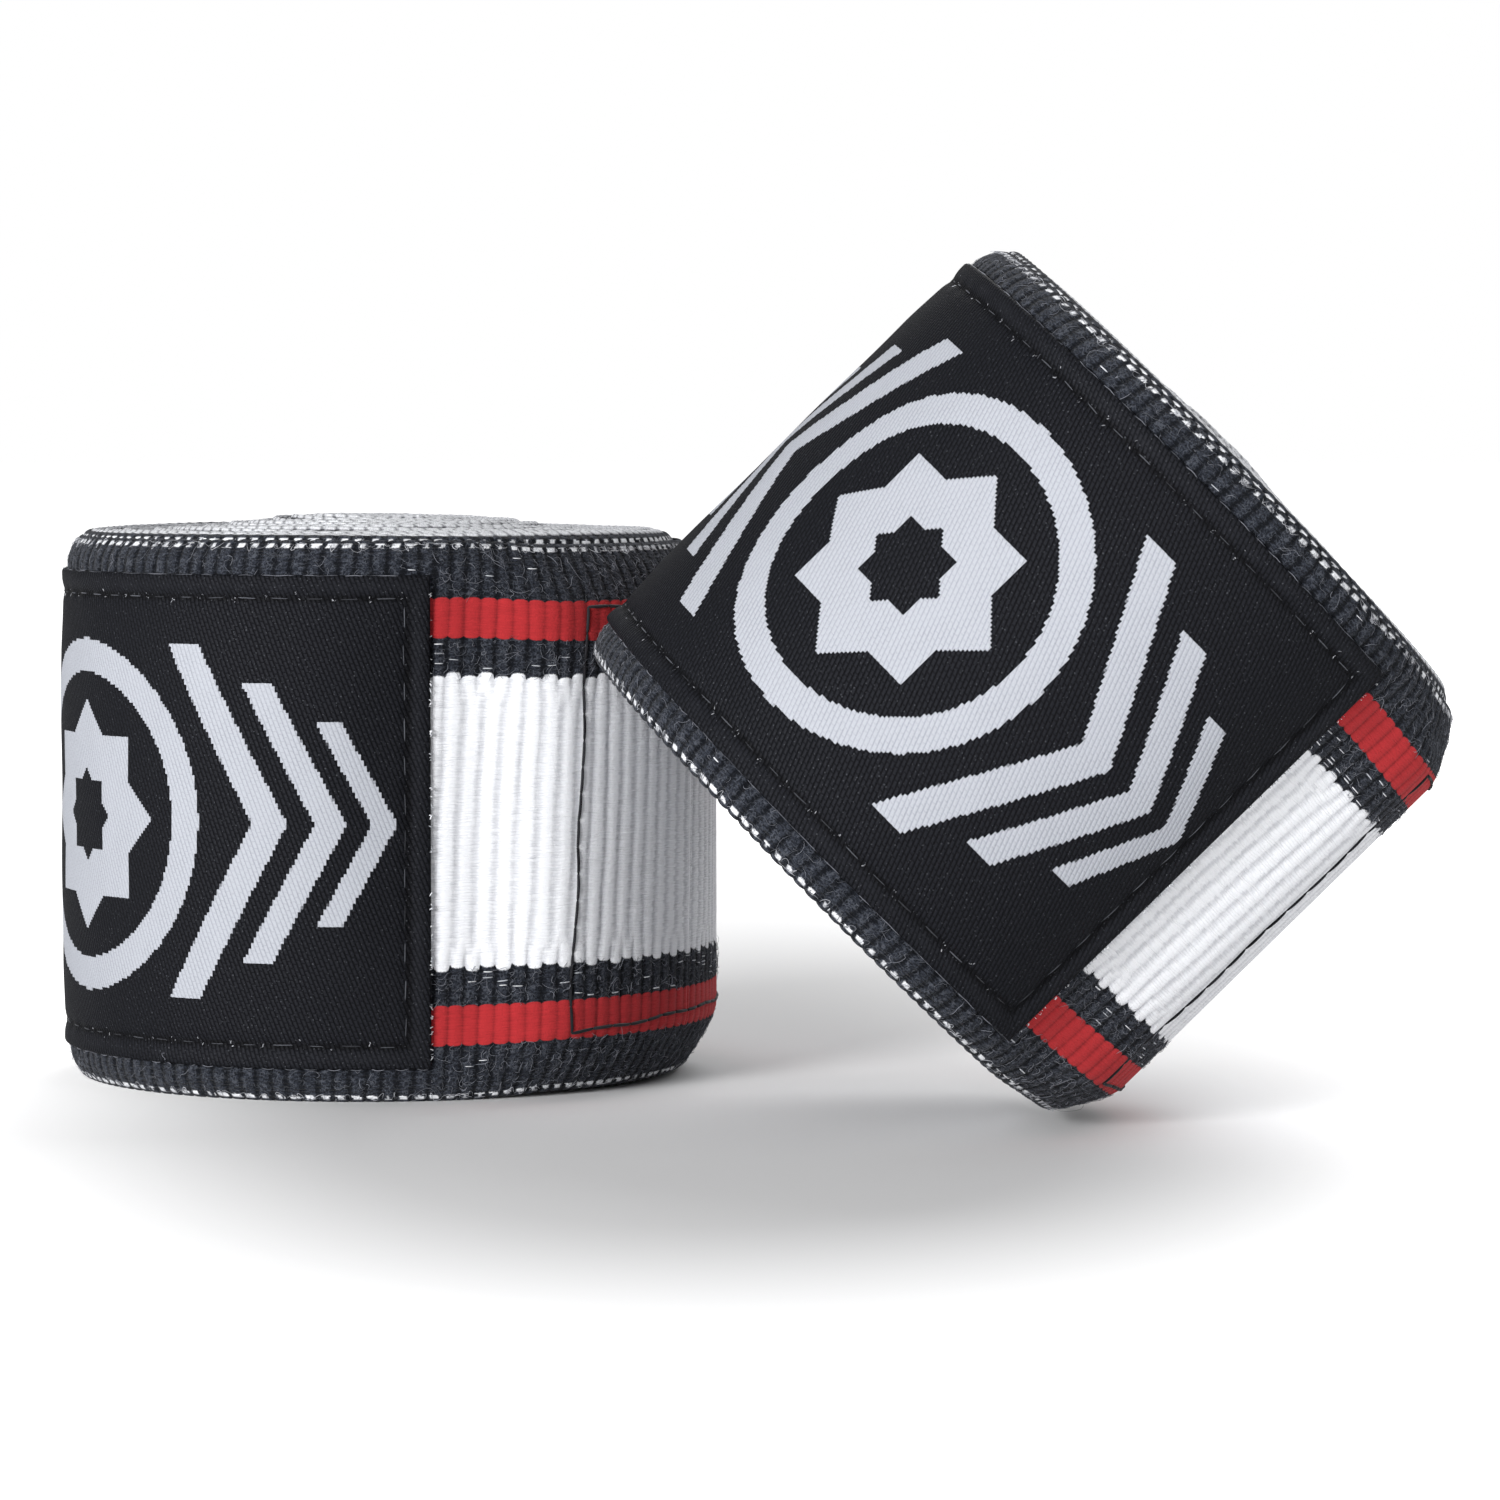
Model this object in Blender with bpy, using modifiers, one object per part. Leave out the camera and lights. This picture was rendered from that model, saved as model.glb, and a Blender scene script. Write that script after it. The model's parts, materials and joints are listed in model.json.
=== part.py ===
"""A pair of boxing hand wraps, each rolled up for storage and closed with hook and loop.

Each wrap is one long elastic band wound round its own thumb loop. A woven label is sewn
to the outside of the last turn. Past the label the band climbs over a loop patch, which is
sewn to the turn below, and the hook patch behind the band's end grips it. That end peels
off outward. One roll stands on its edge and the other leans on it. Metres, +Z up; the origin
is on the floor, in the middle of the pair.

An angle on a roll is in degrees round its axis, from the front (-Y) towards the right (+X).
"""

from math import ceil, cos, pi, radians, sin

import bmesh
import bpy
import numpy as np
from mathutils import Matrix, Vector

COLLECTION = "hand_wrap_pair"

# The band and its winding
BAND_WIDTH = 0.050
BAND_THICKNESS = 0.0005
TURN_GAP = 0.00010            # slack between one turn and the next
TURNS = 38
CORE_RADIUS = 0.0055          # inner face of the first turn
CORE_RISE = 0.0018            # the core stands this far proud of the rim
RISE_RADIUS = 0.024           # turns outside this radius lie level
COARSE_RADIUS = 0.0190        # turns inside this radius have half as many facets
COARSE_STEP = 30.0

# The thumb loop, coiled flat in the core
LOOP_TAPE_WIDTH = 0.020
LOOP_TAPE_THICKNESS = 0.0004
LOOP_TAPE_GAP = 0.00016
LOOP_INNER_RADIUS = 0.0009

# The woven label on the last turn
LABEL_LENGTH = 0.0755
LABEL_HEIGHT = 0.044
LABEL_THICKNESS = 0.00035
LABEL_END_ANGLE = 13.0

# The hook-and-loop closure
PATCH_HEIGHT = 0.040
LOOP_PATCH_THICKNESS = 0.0012
HOOK_PATCH_THICKNESS = 0.0008
BARE_ARC = 15.0               # bare band between the label and the closure
CLIMB_ARC = 10.5              # the band climbs from the roll onto the patches
HELD_ARC = 41.5               # patch that stays gripped when the end is peeled
LINK_ARC = 28.0               # each of the peeling links
LINKS = 3
TIP_PATCH_ARC = 20.0          # patch behind the last link
TAIL_ARC = 16.0               # bare tail from the patch to the folded end
HEM_ARC = 10.0
HEM_GAP = 0.00015
EDGE_LIFT = 0.0009            # height of the band's margins over the turn below
CLOSURE_INSET = 0.0002        # the closing stretch runs this far inside the roll's rims

SEAT_GAP = 0.0003             # clearance between pieces that touch
ARC_STEP = 4.0                # longest facet of a curved piece, in degrees

# The leaning roll
LEAN_TILT = 45.5              # its axis, from upright towards +X
LEAN_SPIN = 30.0              # turned on its own axis
LEAN_BEARING = -33.2          # direction of its middle from the standing roll, +X towards +Y

PITCH = BAND_THICKNESS + TURN_GAP
WOUND_ANGLE = 360.0 * TURNS
CLOSURE_START = LABEL_END_ANGLE + BARE_ARC
PATCH_START = CLOSURE_START + CLIMB_ARC
HINGE_ANGLES = [PATCH_START + HELD_ARC + LINK_ARC * k for k in range(LINKS)]
PATCH_END = HINGE_ANGLES[-1] + TIP_PATCH_ARC
BAND_END = PATCH_END + TAIL_ARC
STACK = 3 * SEAT_GAP + LOOP_PATCH_THICKNESS + HOOK_PATCH_THICKNESS


# ---------------------------------------------------------------- geometry of the winding

def smooth(x):
    """Rises from 0 to 1 with level ends."""
    x = min(max(x, 0.0), 1.0)
    return x * x * (3.0 - 2.0 * x)


def wound_radius(turned):
    """Middle of the band's thickness after it has turned this many degrees from the core."""
    return CORE_RADIUS + BAND_THICKNESS / 2 + PITCH * turned / 360.0


def core_lift(radius):
    """Height by which a turn stands above the outer ones."""
    return CORE_RISE * (1.0 - smooth((radius - CORE_RADIUS) / (RISE_RADIUS - CORE_RADIUS)))


def last_turn_face(angle):
    """Outer face of the last turn at an angle short of the closure."""
    return wound_radius(WOUND_ANGLE + angle - CLOSURE_START) + BAND_THICKNESS / 2


def seat(angle):
    """Outer face of the turn that lies below the closure."""
    return last_turn_face(angle - 360.0)


def on_roll(angle, radius, height):
    """Point on a roll in its own frame."""
    a = radians(angle)
    return Vector((radius * sin(a), -radius * cos(a), height))


def arc_angles(first, last, step=ARC_STEP):
    """Evenly spaced angles from first to last, at most one step apart."""
    count = max(1, ceil((last - first) / step - 1e-6))
    return [first + (last - first) * k / count for k in range(count + 1)]


def closure_radii(angle):
    """Middle of the closure's band over the patches, and at its margins."""
    climb = smooth((angle - CLOSURE_START) / (CLIMB_ARC - 1.0))
    settle = smooth((angle - PATCH_END - 1.0) / (TAIL_ARC - 4.0))
    start = TURN_GAP + BAND_THICKNESS / 2
    tail = SEAT_GAP + BAND_THICKNESS + HEM_GAP + BAND_THICKNESS / 2
    middle = start + (STACK + BAND_THICKNESS / 2 - start) * climb
    middle += (tail - middle) * settle
    margin = start + (EDGE_LIFT + BAND_THICKNESS / 2 - start) * climb
    margin += (tail - margin) * settle
    return seat(angle) + middle, seat(angle) + margin


def closure_section(angle, inward=0.0):
    """Cross-section of the closure's band: flat over the patch, sloping at both margins."""
    middle, margin = closure_radii(angle)
    slope = (BAND_WIDTH - PATCH_HEIGHT) / 2 - SEAT_GAP
    rim = CLOSURE_INSET + slope - (slope ** 2 - (middle - margin) ** 2) ** 0.5
    heights = (rim, slope, BAND_WIDTH - slope, BAND_WIDTH - rim)
    radii = (margin, middle, middle, margin)
    return [on_roll(angle, r - inward, z) for r, z in zip(radii, heights)]


# ---------------------------------------------------------------- building the pieces

def material(name, color, roughness):
    """Plain woven or knitted finish."""
    made = bpy.data.materials.new(name)
    made.use_nodes = True
    shader = made.node_tree.nodes["Principled BSDF"]
    shader.inputs["Base Color"].default_value = (*color, 1.0)
    shader.inputs["Roughness"].default_value = roughness
    shader.inputs["Metallic"].default_value = 0.0
    return made


def empty(name, collection, parent=None, location=(0.0, 0.0, 0.0)):
    """Frame that pieces hang from; the location is relative to the parent."""
    frame = bpy.data.objects.new(name, None)
    frame.empty_display_size = 0.01
    collection.objects.link(frame)
    frame.parent = parent
    frame.location = location
    return frame


def strip(name, sections, thickness, finish, joined=False):
    """Sheet through a row of cross-sections, thickened evenly to both sides.

    The sections follow increasing angles and their points go up, so that it faces outward.
    """
    mesh = bpy.data.meshes.new(name)
    bm = bmesh.new()
    rows = [[bm.verts.new(point) for point in section] for section in sections]
    following = rows[1:] + (rows[:1] if joined else [])
    for here, there in zip(rows, following):
        for k in range(len(here) - 1):
            bm.faces.new((here[k], there[k], there[k + 1], here[k + 1]))
    bm.to_mesh(mesh)
    bm.free()
    mesh.shade_smooth()
    mesh.set_sharp_from_angle(angle=radians(50))
    mesh.materials.append(finish)
    piece = bpy.data.objects.new(name, mesh)
    wall = piece.modifiers.new("thickness", 'SOLIDIFY')
    wall.thickness = thickness
    wall.offset = 0.0
    wall.use_even_offset = True
    return piece


def turn_is_fine(turned):
    """Whether the turn that holds this place began outside the coarse core."""
    return wound_radius(turned - turned % 360.0) > COARSE_RADIUS


def wound_band(name, finish):
    """The band from the thumb loop to the closure: a spiral whose core is pushed up."""
    sections = []
    turned = 0.0
    while turned < WOUND_ANGLE + 1e-6:
        radius = wound_radius(turned)
        low = core_lift(radius)
        angle = CLOSURE_START + turned
        sections.append([on_roll(angle, radius, low), on_roll(angle, radius, low + BAND_WIDTH)])
        if turned >= WOUND_ANGLE - 360.0:
            turned += COARSE_STEP / 4
        elif turn_is_fine(turned):
            turned += COARSE_STEP / 2
        else:
            turned += COARSE_STEP
    return strip(name, sections, BAND_THICKNESS, finish)


def thumb_loop(name, finish):
    """A closed loop of tape, pressed flat and coiled to fill the core."""
    leg_gap = LOOP_TAPE_THICKNESS + LOOP_TAPE_GAP
    outermost = CORE_RADIUS - SEAT_GAP - LOOP_TAPE_THICKNESS / 2
    coil = 360.0 * (outermost - leg_gap - LOOP_INNER_RADIUS) / (2 * leg_gap)
    angles = arc_angles(0.0, coil, COARSE_STEP)

    def leg(angle, outward):
        radius = LOOP_INNER_RADIUS + 2 * leg_gap * angle / 360.0 + outward
        return on_roll(CLOSURE_START + angle, radius, 0.0)

    def fold(angle, sign):
        """Half circle that joins the two legs past an end of the coil."""
        inner, outer = leg(angle, 0.0), leg(angle, leg_gap)
        centre, arm = (inner + outer) / 2, (outer - inner) / 2
        along = Vector((cos(radians(CLOSURE_START + angle)), sin(radians(CLOSURE_START + angle)), 0))
        turns = [sign * pi * k / 4 for k in (1, 2, 3)]
        return [centre + sign * arm * cos(t) + along * leg_gap / 2 * sin(t) for t in turns]

    path = [leg(a, leg_gap) for a in angles] + fold(coil, 1)
    path += [leg(a, 0.0) for a in reversed(angles)] + fold(0.0, -1)
    low = core_lift(CORE_RADIUS) + (BAND_WIDTH - LOOP_TAPE_WIDTH) / 2
    up = Vector((0, 0, LOOP_TAPE_WIDTH))
    sections = [[p + Vector((0, 0, low)), p + Vector((0, 0, low)) + up] for p in path]
    return strip(name, sections, LOOP_TAPE_THICKNESS, finish, joined=True)


def sewn_plate(name, first, last, face, lift, thickness, height, finish):
    """Thin piece bent round the roll, centred on the band's width."""
    low = (BAND_WIDTH - height) / 2
    sections = []
    for angle in arc_angles(first, last):
        radius = face(angle) + lift + thickness / 2
        sections.append([on_roll(angle, radius, low), on_roll(angle, radius, low + height)])
    return strip(name, sections, thickness, finish)


def closure_band(name, first, last, finish, hemmed=False):
    """Stretch of the band over the patches; the last one ends in a folded hem."""
    sections = [closure_section(a) for a in arc_angles(first, last)]
    if hemmed:
        fold = BAND_THICKNESS + HEM_GAP
        along = Vector((cos(radians(last)), sin(radians(last)), 0))
        for k in (1, 2, 3):
            turn = pi * k / 4
            section = closure_section(last, fold / 2 * (1 - cos(turn)))
            sections.append([point + along * fold / 2 * sin(turn) for point in section])
        for angle in reversed(arc_angles(last - HEM_ARC, last)):
            sections.append(closure_section(angle, fold))
    return strip(name, sections, BAND_THICKNESS, finish)


def place(piece, collection, frame, frame_at=(0.0, 0.0, 0.0)):
    """Hangs a piece, modelled on the roll, from a frame at that place on the roll."""
    piece.data.transform(Matrix.Translation(frame_at).inverted())
    collection.objects.link(piece)
    piece.parent = frame


def build_roll(prefix, collection, finishes):
    """One rolled wrap with its peeling end, upright at the origin; returns its frame."""
    roll = empty(prefix + "_roll", collection)
    half_gap = 90.0 * SEAT_GAP / (pi * (seat(PATCH_START) + STACK))
    hook_lift = 2 * SEAT_GAP + LOOP_PATCH_THICKNESS
    label_arc = 180.0 * LABEL_LENGTH / (pi * last_turn_face(LABEL_END_ANGLE))

    fixed = [
        wound_band(prefix + "_wound_band", finishes["band"]),
        thumb_loop(prefix + "_thumb_loop", finishes["tape"]),
        sewn_plate(prefix + "_label", LABEL_END_ANGLE - label_arc, LABEL_END_ANGLE, last_turn_face,
                   SEAT_GAP, LABEL_THICKNESS, LABEL_HEIGHT, finishes["label"]),
        sewn_plate(prefix + "_loop_patch", PATCH_START, PATCH_END, seat,
                   SEAT_GAP, LOOP_PATCH_THICKNESS, PATCH_HEIGHT, finishes["loop"]),
        closure_band(prefix + "_closure_band", CLOSURE_START + 2 * half_gap,
                     HINGE_ANGLES[0] - half_gap, finishes["band"]),
        sewn_plate(prefix + "_hook_patch", PATCH_START, HINGE_ANGLES[0] - half_gap, seat,
                   hook_lift, HOOK_PATCH_THICKNESS, PATCH_HEIGHT, finishes["hook"]),
    ]
    for piece in fixed:
        place(piece, collection, roll)

    carrier, carrier_at = roll, Vector()
    for k, angle in enumerate(HINGE_ANGLES):
        hinge_at = on_roll(angle, seat(angle) + STACK + BAND_THICKNESS, BAND_WIDTH / 2)
        carrier = empty(f"{prefix}_peel_{k + 1}", collection, carrier, hinge_at - carrier_at)
        carrier_at = hinge_at
        is_tip = k == LINKS - 1
        band_to = BAND_END if is_tip else angle + LINK_ARC - half_gap
        hook_to = PATCH_END if is_tip else angle + LINK_ARC - half_gap
        link = [
            closure_band(f"{prefix}_end_band_{k + 1}", angle + half_gap, band_to,
                         finishes["band"], hemmed=is_tip),
            sewn_plate(f"{prefix}_end_hook_{k + 1}", angle + half_gap, hook_to, seat,
                       hook_lift, HOOK_PATCH_THICKNESS, PATCH_HEIGHT, finishes["hook"]),
        ]
        for piece in link:
            place(piece, collection, carrier, hinge_at)
    return roll


# ---------------------------------------------------------------- leaning one roll on the other

def width_lines(roll, turn):
    """Points on every edge that runs across the band's width, after the roll is turned."""
    graph = bpy.context.evaluated_depsgraph_get()
    starts, ends = [], []
    for piece in roll.children_recursive:
        if piece.type != 'MESH':
            continue
        shape = piece.evaluated_get(graph)
        corners = [shape.matrix_world @ v.co for v in shape.data.vertices]
        for edge in shape.data.edges:
            start, end = (corners[k] for k in edge.vertices)
            if abs(end.z - start.z) > (end - start).xy.length:
                starts.append(turn @ start)
                ends.append(turn @ end)
    starts, ends = np.array(starts), np.array(ends)
    return np.concatenate([starts + (ends - starts) * k / 25 for k in range(26)])


def roll_outline(points):
    """Outer radius of a standing roll, with its label and closure, beside each point."""
    angles = np.degrees(np.arctan2(points[:, 0], -points[:, 1])) % 360.0
    degrees = np.arange(361)
    middle, margin = np.empty(361), np.empty(361)
    for k in degrees:
        if CLOSURE_START - 1.0 <= k <= BAND_END + 1.0:
            middle[k], margin[k] = closure_radii(k)
        else:
            middle[k] = margin[k] = last_turn_face(LABEL_END_ANGLE) + SEAT_GAP + LABEL_THICKNESS
    edge = np.minimum(points[:, 2], BAND_WIDTH - points[:, 2]) * 2 / (BAND_WIDTH - PATCH_HEIGHT)
    low, high = np.interp(angles, degrees, margin), np.interp(angles, degrees, middle)
    return low + (high - low) * np.clip(edge, 0.0, 1.0) + BAND_THICKNESS / 2


def leaning_matrix(roll):
    """Pose of the leaning roll: its rim on the floor and its side against the other roll."""
    turn = Matrix.Rotation(radians(LEAN_TILT), 4, 'Y') @ Matrix.Rotation(radians(LEAN_SPIN), 4, 'Z')
    turn @= Matrix.Translation((0, 0, -BAND_WIDTH / 2))
    lines = width_lines(roll, turn)
    rest = -lines[:, 2].min()
    lines[:, 2] += rest
    beside = lines[lines[:, 2] < BAND_WIDTH + SEAT_GAP]
    toward = np.array((cos(radians(LEAN_BEARING)), sin(radians(LEAN_BEARING)), 0.0))
    near, far = 0.0, 4 * BAND_WIDTH
    while far - near > SEAT_GAP / 100:
        middle = (near + far) / 2
        moved = beside + toward * middle
        clear = np.hypot(moved[:, 0], moved[:, 1]) - roll_outline(moved)
        near, far = (near, middle) if clear.min() > SEAT_GAP else (middle, far)
    return Matrix.Translation((toward[0] * far, toward[1] * far, rest)) @ turn


def centre_on_floor(rolls):
    """Moves the pair so that the middle of its footprint is the origin."""
    graph = bpy.context.evaluated_depsgraph_get()
    pieces = [p.evaluated_get(graph) for r in rolls for p in r.children_recursive if p.type == 'MESH']
    corners = np.array([p.matrix_world @ v.co for p in pieces for v in p.data.vertices])
    middle = (corners.min(axis=0) + corners.max(axis=0)) / 2
    for roll in rolls:
        roll.location.x -= middle[0]
        roll.location.y -= middle[1]


def build():
    """The pair, in a collection of its own."""
    for old in list(bpy.data.objects):
        bpy.data.objects.remove(old, do_unlink=True)
    collection = bpy.data.collections.new(COLLECTION)
    bpy.context.scene.collection.children.link(collection)
    finishes = {
        "band": material("striped_band", (0.62, 0.62, 0.65), 0.85),
        "tape": material("loop_tape", (0.03, 0.03, 0.035), 0.85),
        "label": material("woven_label", (0.02, 0.02, 0.022), 0.45),
        "loop": material("loop_pile", (0.025, 0.025, 0.028), 0.95),
        "hook": material("hook_tape", (0.03, 0.03, 0.032), 0.6),
    }
    standing = build_roll("standing", collection, finishes)
    leaning = build_roll("leaning", collection, finishes)
    bpy.context.view_layer.update()
    leaning.matrix_local = leaning_matrix(leaning)
    bpy.context.view_layer.update()
    centre_on_floor([standing, leaning])
    bpy.context.view_layer.update()


build()
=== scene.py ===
# %% [markdown]
# # A pair of rolled hand wraps
# A hand wrap is one elastic band, 50 mm wide and over four metres long. It is wound round its
# own thumb loop, a woven label is sewn to the last turn, and a hook-and-loop patch closes it.
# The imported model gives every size, place and hinge. This script adds what the eye looks for:
# the ribs of the weave, the looped selvedges, threads, stitches and lint.

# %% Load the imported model
import json
from math import cos, pi, radians, sin, sqrt, tan

import bpy
import numpy as np
from mathutils import Matrix, Vector


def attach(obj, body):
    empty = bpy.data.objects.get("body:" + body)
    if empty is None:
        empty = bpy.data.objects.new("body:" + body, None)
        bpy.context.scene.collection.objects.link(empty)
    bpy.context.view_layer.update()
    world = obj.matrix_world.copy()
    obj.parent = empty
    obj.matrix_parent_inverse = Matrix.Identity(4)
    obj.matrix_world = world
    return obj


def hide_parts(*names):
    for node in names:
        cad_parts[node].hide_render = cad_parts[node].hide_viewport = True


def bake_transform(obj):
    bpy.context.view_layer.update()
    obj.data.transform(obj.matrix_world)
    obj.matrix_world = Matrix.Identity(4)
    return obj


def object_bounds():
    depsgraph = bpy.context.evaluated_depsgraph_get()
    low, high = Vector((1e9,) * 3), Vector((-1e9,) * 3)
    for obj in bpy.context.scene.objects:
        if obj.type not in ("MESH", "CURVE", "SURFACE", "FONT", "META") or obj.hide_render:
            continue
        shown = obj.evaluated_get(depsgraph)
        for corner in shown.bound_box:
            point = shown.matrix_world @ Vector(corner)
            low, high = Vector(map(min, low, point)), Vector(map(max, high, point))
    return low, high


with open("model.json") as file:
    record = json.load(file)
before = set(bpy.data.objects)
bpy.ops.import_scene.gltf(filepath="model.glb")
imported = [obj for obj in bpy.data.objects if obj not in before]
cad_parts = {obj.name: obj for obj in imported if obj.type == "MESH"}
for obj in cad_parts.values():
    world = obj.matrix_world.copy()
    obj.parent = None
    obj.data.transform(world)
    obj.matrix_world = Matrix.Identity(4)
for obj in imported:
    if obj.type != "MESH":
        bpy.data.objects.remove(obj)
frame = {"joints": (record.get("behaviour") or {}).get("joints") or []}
cad_low, cad_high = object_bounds()
MM = 0.001
print("the packed pair measures", [round((b - a) / MM, 1) for a, b in zip(cad_low, cad_high)], "mm")

# %% [markdown]
# ## The path of the band
# The band is a spiral, and its end climbs over the closing patches. A curve with a bevel could
# draw the spiral alone. But all that is sewn to the band or caught in it follows the same path,
# so the path is a few functions with the model's sizes, and every piece is made with them.
# Angles are in degrees round the roll, from the front (-Y) towards the right (+X). "Turned" is
# the angle counted on from the core, so one number says where along the band a point is.

# %% Sizes of the band and its closure
BAND_WIDTH = 50 * MM
MIDDLE = BAND_WIDTH / 2          # height of the middle of the band
BAND_THICKNESS = 0.5 * MM
PITCH = 0.6 * MM                 # from one turn to the next
TURNS = 38
CORE_RADIUS = 5.5 * MM
CORE_RISE = 1.2 * MM             # the core stands up this much
RISE_RADIUS = 24 * MM            # and from here outward nothing does
CLOSURE_START = 28.0             # degrees from the front, as are the next four
PATCH_START = 38.5
HINGE_ANGLES = (80.0, 108.0, 136.0)
PATCH_END = 156.0
BAND_END = 172.0
SEAT_GAP = 0.3 * MM              # between two things that lie on each other
LOOP_PATCH = 1.2 * MM            # thickness
HOOK_PATCH = 0.8 * MM            # thickness
STACK = 3 * SEAT_GAP + LOOP_PATCH + HOOK_PATCH
WOUND = 360.0 * TURNS


# %% Radii along the spiral
def ease(x):
    """Rises from 0 to 1 with level ends; works on arrays too."""
    x = np.clip(x, 0.0, 1.0)
    return x * x * (3 - 2 * x)


def turned_to(angle):
    """How far the band has turned where its last turn passes this angle."""
    return WOUND + angle - CLOSURE_START


def wound_radius(turned):
    """Middle of the band's thickness, in the wound part."""
    return CORE_RADIUS + BAND_THICKNESS / 2 + PITCH * turned / 360


def seat_radius(turned):
    """Outer face of the turn below."""
    return wound_radius(turned - 360) + BAND_THICKNESS / 2


def core_lift(radius):
    """The core was pushed up a little while the band was wound."""
    return CORE_RISE * (1 - ease((radius - CORE_RADIUS) / (RISE_RADIUS - CORE_RADIUS)))


print("a roll is", round(2 * float(seat_radius(WOUND + 360)) / MM, 1), "mm across")


# %% Where the closure climbs over the patches
EDGE_LIFT = 0.9 * MM             # height of the closure's margins over the turn below
MARGIN_FLAT = 0.7 * MM           # from the selvedge, this much lies low
MARGIN_RISE = 5.4 * MM           # and over this much it climbs onto the patch
CLIMB_EARLY = 9.0                # degrees before the closure where the climb begins
CLOSURE_INSET = 0.5 * MM         # the sloping margins draw the selvedges in
TAIL_LIFT = 0.15 * MM            # slack under the bare tail
TUCK = 0.042                     # the flat selvedges wind up this much tighter than the ribs
TUCK_HEIGHT = 2.6 * MM


def closure_climb(turned):
    return ease((turned - WOUND + CLIMB_EARLY) / (PATCH_START - CLOSURE_START - 1 + CLIMB_EARLY))


def closure_settle(turned):
    return ease((turned - WOUND - (PATCH_END + 1 - CLOSURE_START)) / (BAND_END - PATCH_END - 4))


def band_radius(turned, height):
    """Middle of the band's thickness anywhere on the band, from the core to the tip."""
    half = BAND_THICKNESS / 2
    start = PITCH - half
    tail = SEAT_GAP + BAND_THICKNESS + TAIL_LIFT + half
    climb, settle = closure_climb(turned), closure_settle(turned)
    middle = start + (STACK + half - start) * climb
    middle += (tail - middle) * settle
    margin = start + (EDGE_LIFT + half - start) * climb
    margin += (tail - margin) * settle
    inward = np.minimum(height, BAND_WIDTH - height)
    over = margin + (middle - margin) * ease((inward - MARGIN_FLAT) / MARGIN_RISE)
    radius = np.where(turned < WOUND - CLIMB_EARLY, wound_radius(turned), seat_radius(turned) + over)
    return radius * (1 - TUCK * np.clip(1 - inward / TUCK_HEIGHT, 0, 1) ** 2)


print("the patches lift the band's end by", round(STACK / MM, 1), "mm")


# %% Length along the band
turned_steps = np.arange(0.0, turned_to(BAND_END) + 30, 1.0)
step_radii = band_radius(turned_steps, MIDDLE)
step_lengths = np.hypot(step_radii * radians(1), np.gradient(step_radii))
length_steps = np.concatenate([[0.0], np.cumsum((step_lengths[1:] + step_lengths[:-1]) / 2)])


def length_at(turned):
    return np.interp(turned, turned_steps, length_steps)


def turned_at(length):
    return np.interp(length, length_steps, turned_steps)


TIP = turned_to(BAND_END)
print("the band is", round(float(length_at(TIP)), 2), "m long")

# %% [markdown]
# ## The ribs
# Elastic wraps are woven so that the slack weft stands up in ribs straight across the band,
# about seven to the centimetre. They lean a little and wander. A bump could draw them, but
# then the outline and the edges of the stripes would be smooth, so they are real relief. Ribs
# are also the unit of length along the band, so that colour, relief and stitches can all be
# placed by rib. Two pieces join on the crown of a rib, where both sides face the same way.

# %% Ribs as the unit of length
RIB_PITCH = 1.42 * MM
RIB_LEAN = tan(radians(2.6))
RIB_WANDER = 0.035               # in ribs


def wander(rib, height):
    """Slow waves that keep the ribs from being ruled lines."""
    y = height / MM
    return RIB_WANDER * (2 * np.sin(0.13 * y + 0.21 * rib) + np.sin(0.31 * y - 0.37 * rib + 1.3)
                         + 0.6 * np.sin(0.9 * y + 1.7 * rib + 0.4))


def turned_of(rib, height):
    """How far round the band has turned where this rib crosses this height."""
    lean = RIB_LEAN * (height - MIDDLE)
    return turned_at((rib + wander(rib, height)) * RIB_PITCH + lean)


def rib_of(turned):
    """The rib that lies there, at the middle of the band's width."""
    return length_at(turned) / RIB_PITCH


print("ribs on a band:", int(rib_of(TIP)))


# %% A point on the band, by rib and height
def edge_wander(turned):
    """No two turns end at quite the same height, and the last one lies lowest."""
    a = np.radians(turned)
    waves = np.sin(0.31 * a) + np.sin(1.37 * a + 0.8) + np.sin(2.41 * a + 2.0)
    return 0.13 * MM * (3 + waves) * (1 - ease((turned - WOUND + 400) / 200))


def on_roll(turned, radius, height):
    """Points on a roll standing at the origin."""
    a = np.radians(CLOSURE_START + turned)
    return np.stack(np.broadcast_arrays(radius * np.sin(a), -radius * np.cos(a), height), -1)


def on_band(rib, height, out=0.0):
    """Point on the band, out from the middle of its thickness."""
    turned = turned_of(rib, height)
    inset = CLOSURE_INSET * closure_climb(turned)
    level = MIDDLE + (height - MIDDLE) * (1 - 2 * inset / BAND_WIDTH)
    level = level + core_lift(wound_radius(turned)) + edge_wander(turned)
    return on_roll(turned, band_radius(turned, height) + out, level)


print("the middle of the tip lies at", (on_band(rib_of(TIP), MIDDLE) / MM).round(1), "mm")


# %% The stripes and the height of the ribs over each
WHITE_HALF = 13.0 * MM           # distances from the middle of the width
INNER_CHARCOAL = 16.35 * MM
RED = 20.0 * MM
WHITE_RIBS = 0.81                # wide ribs in the white for each rib elsewhere
RIB_DEPTH = {"white": 0.13 * MM, "charcoal": 0.16 * MM, "red": 0.07 * MM}
STRIPE_BLUR = 0.4 * MM
RIB_MERGE = 3.0 * MM             # width over which the ribs merge into wider ones


def rib_depth(height):
    """Depth of the grooves in the stripe at this height."""
    y = np.abs(height - MIDDLE)
    white, charcoal, red = RIB_DEPTH.values()
    depth = white + (charcoal - white) * ease((y - WHITE_HALF) / STRIPE_BLUR)
    depth = depth + (red - charcoal) * ease((y - INNER_CHARCOAL) / STRIPE_BLUR)
    return depth + (charcoal - red) * ease((y - RED) / STRIPE_BLUR)


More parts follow.
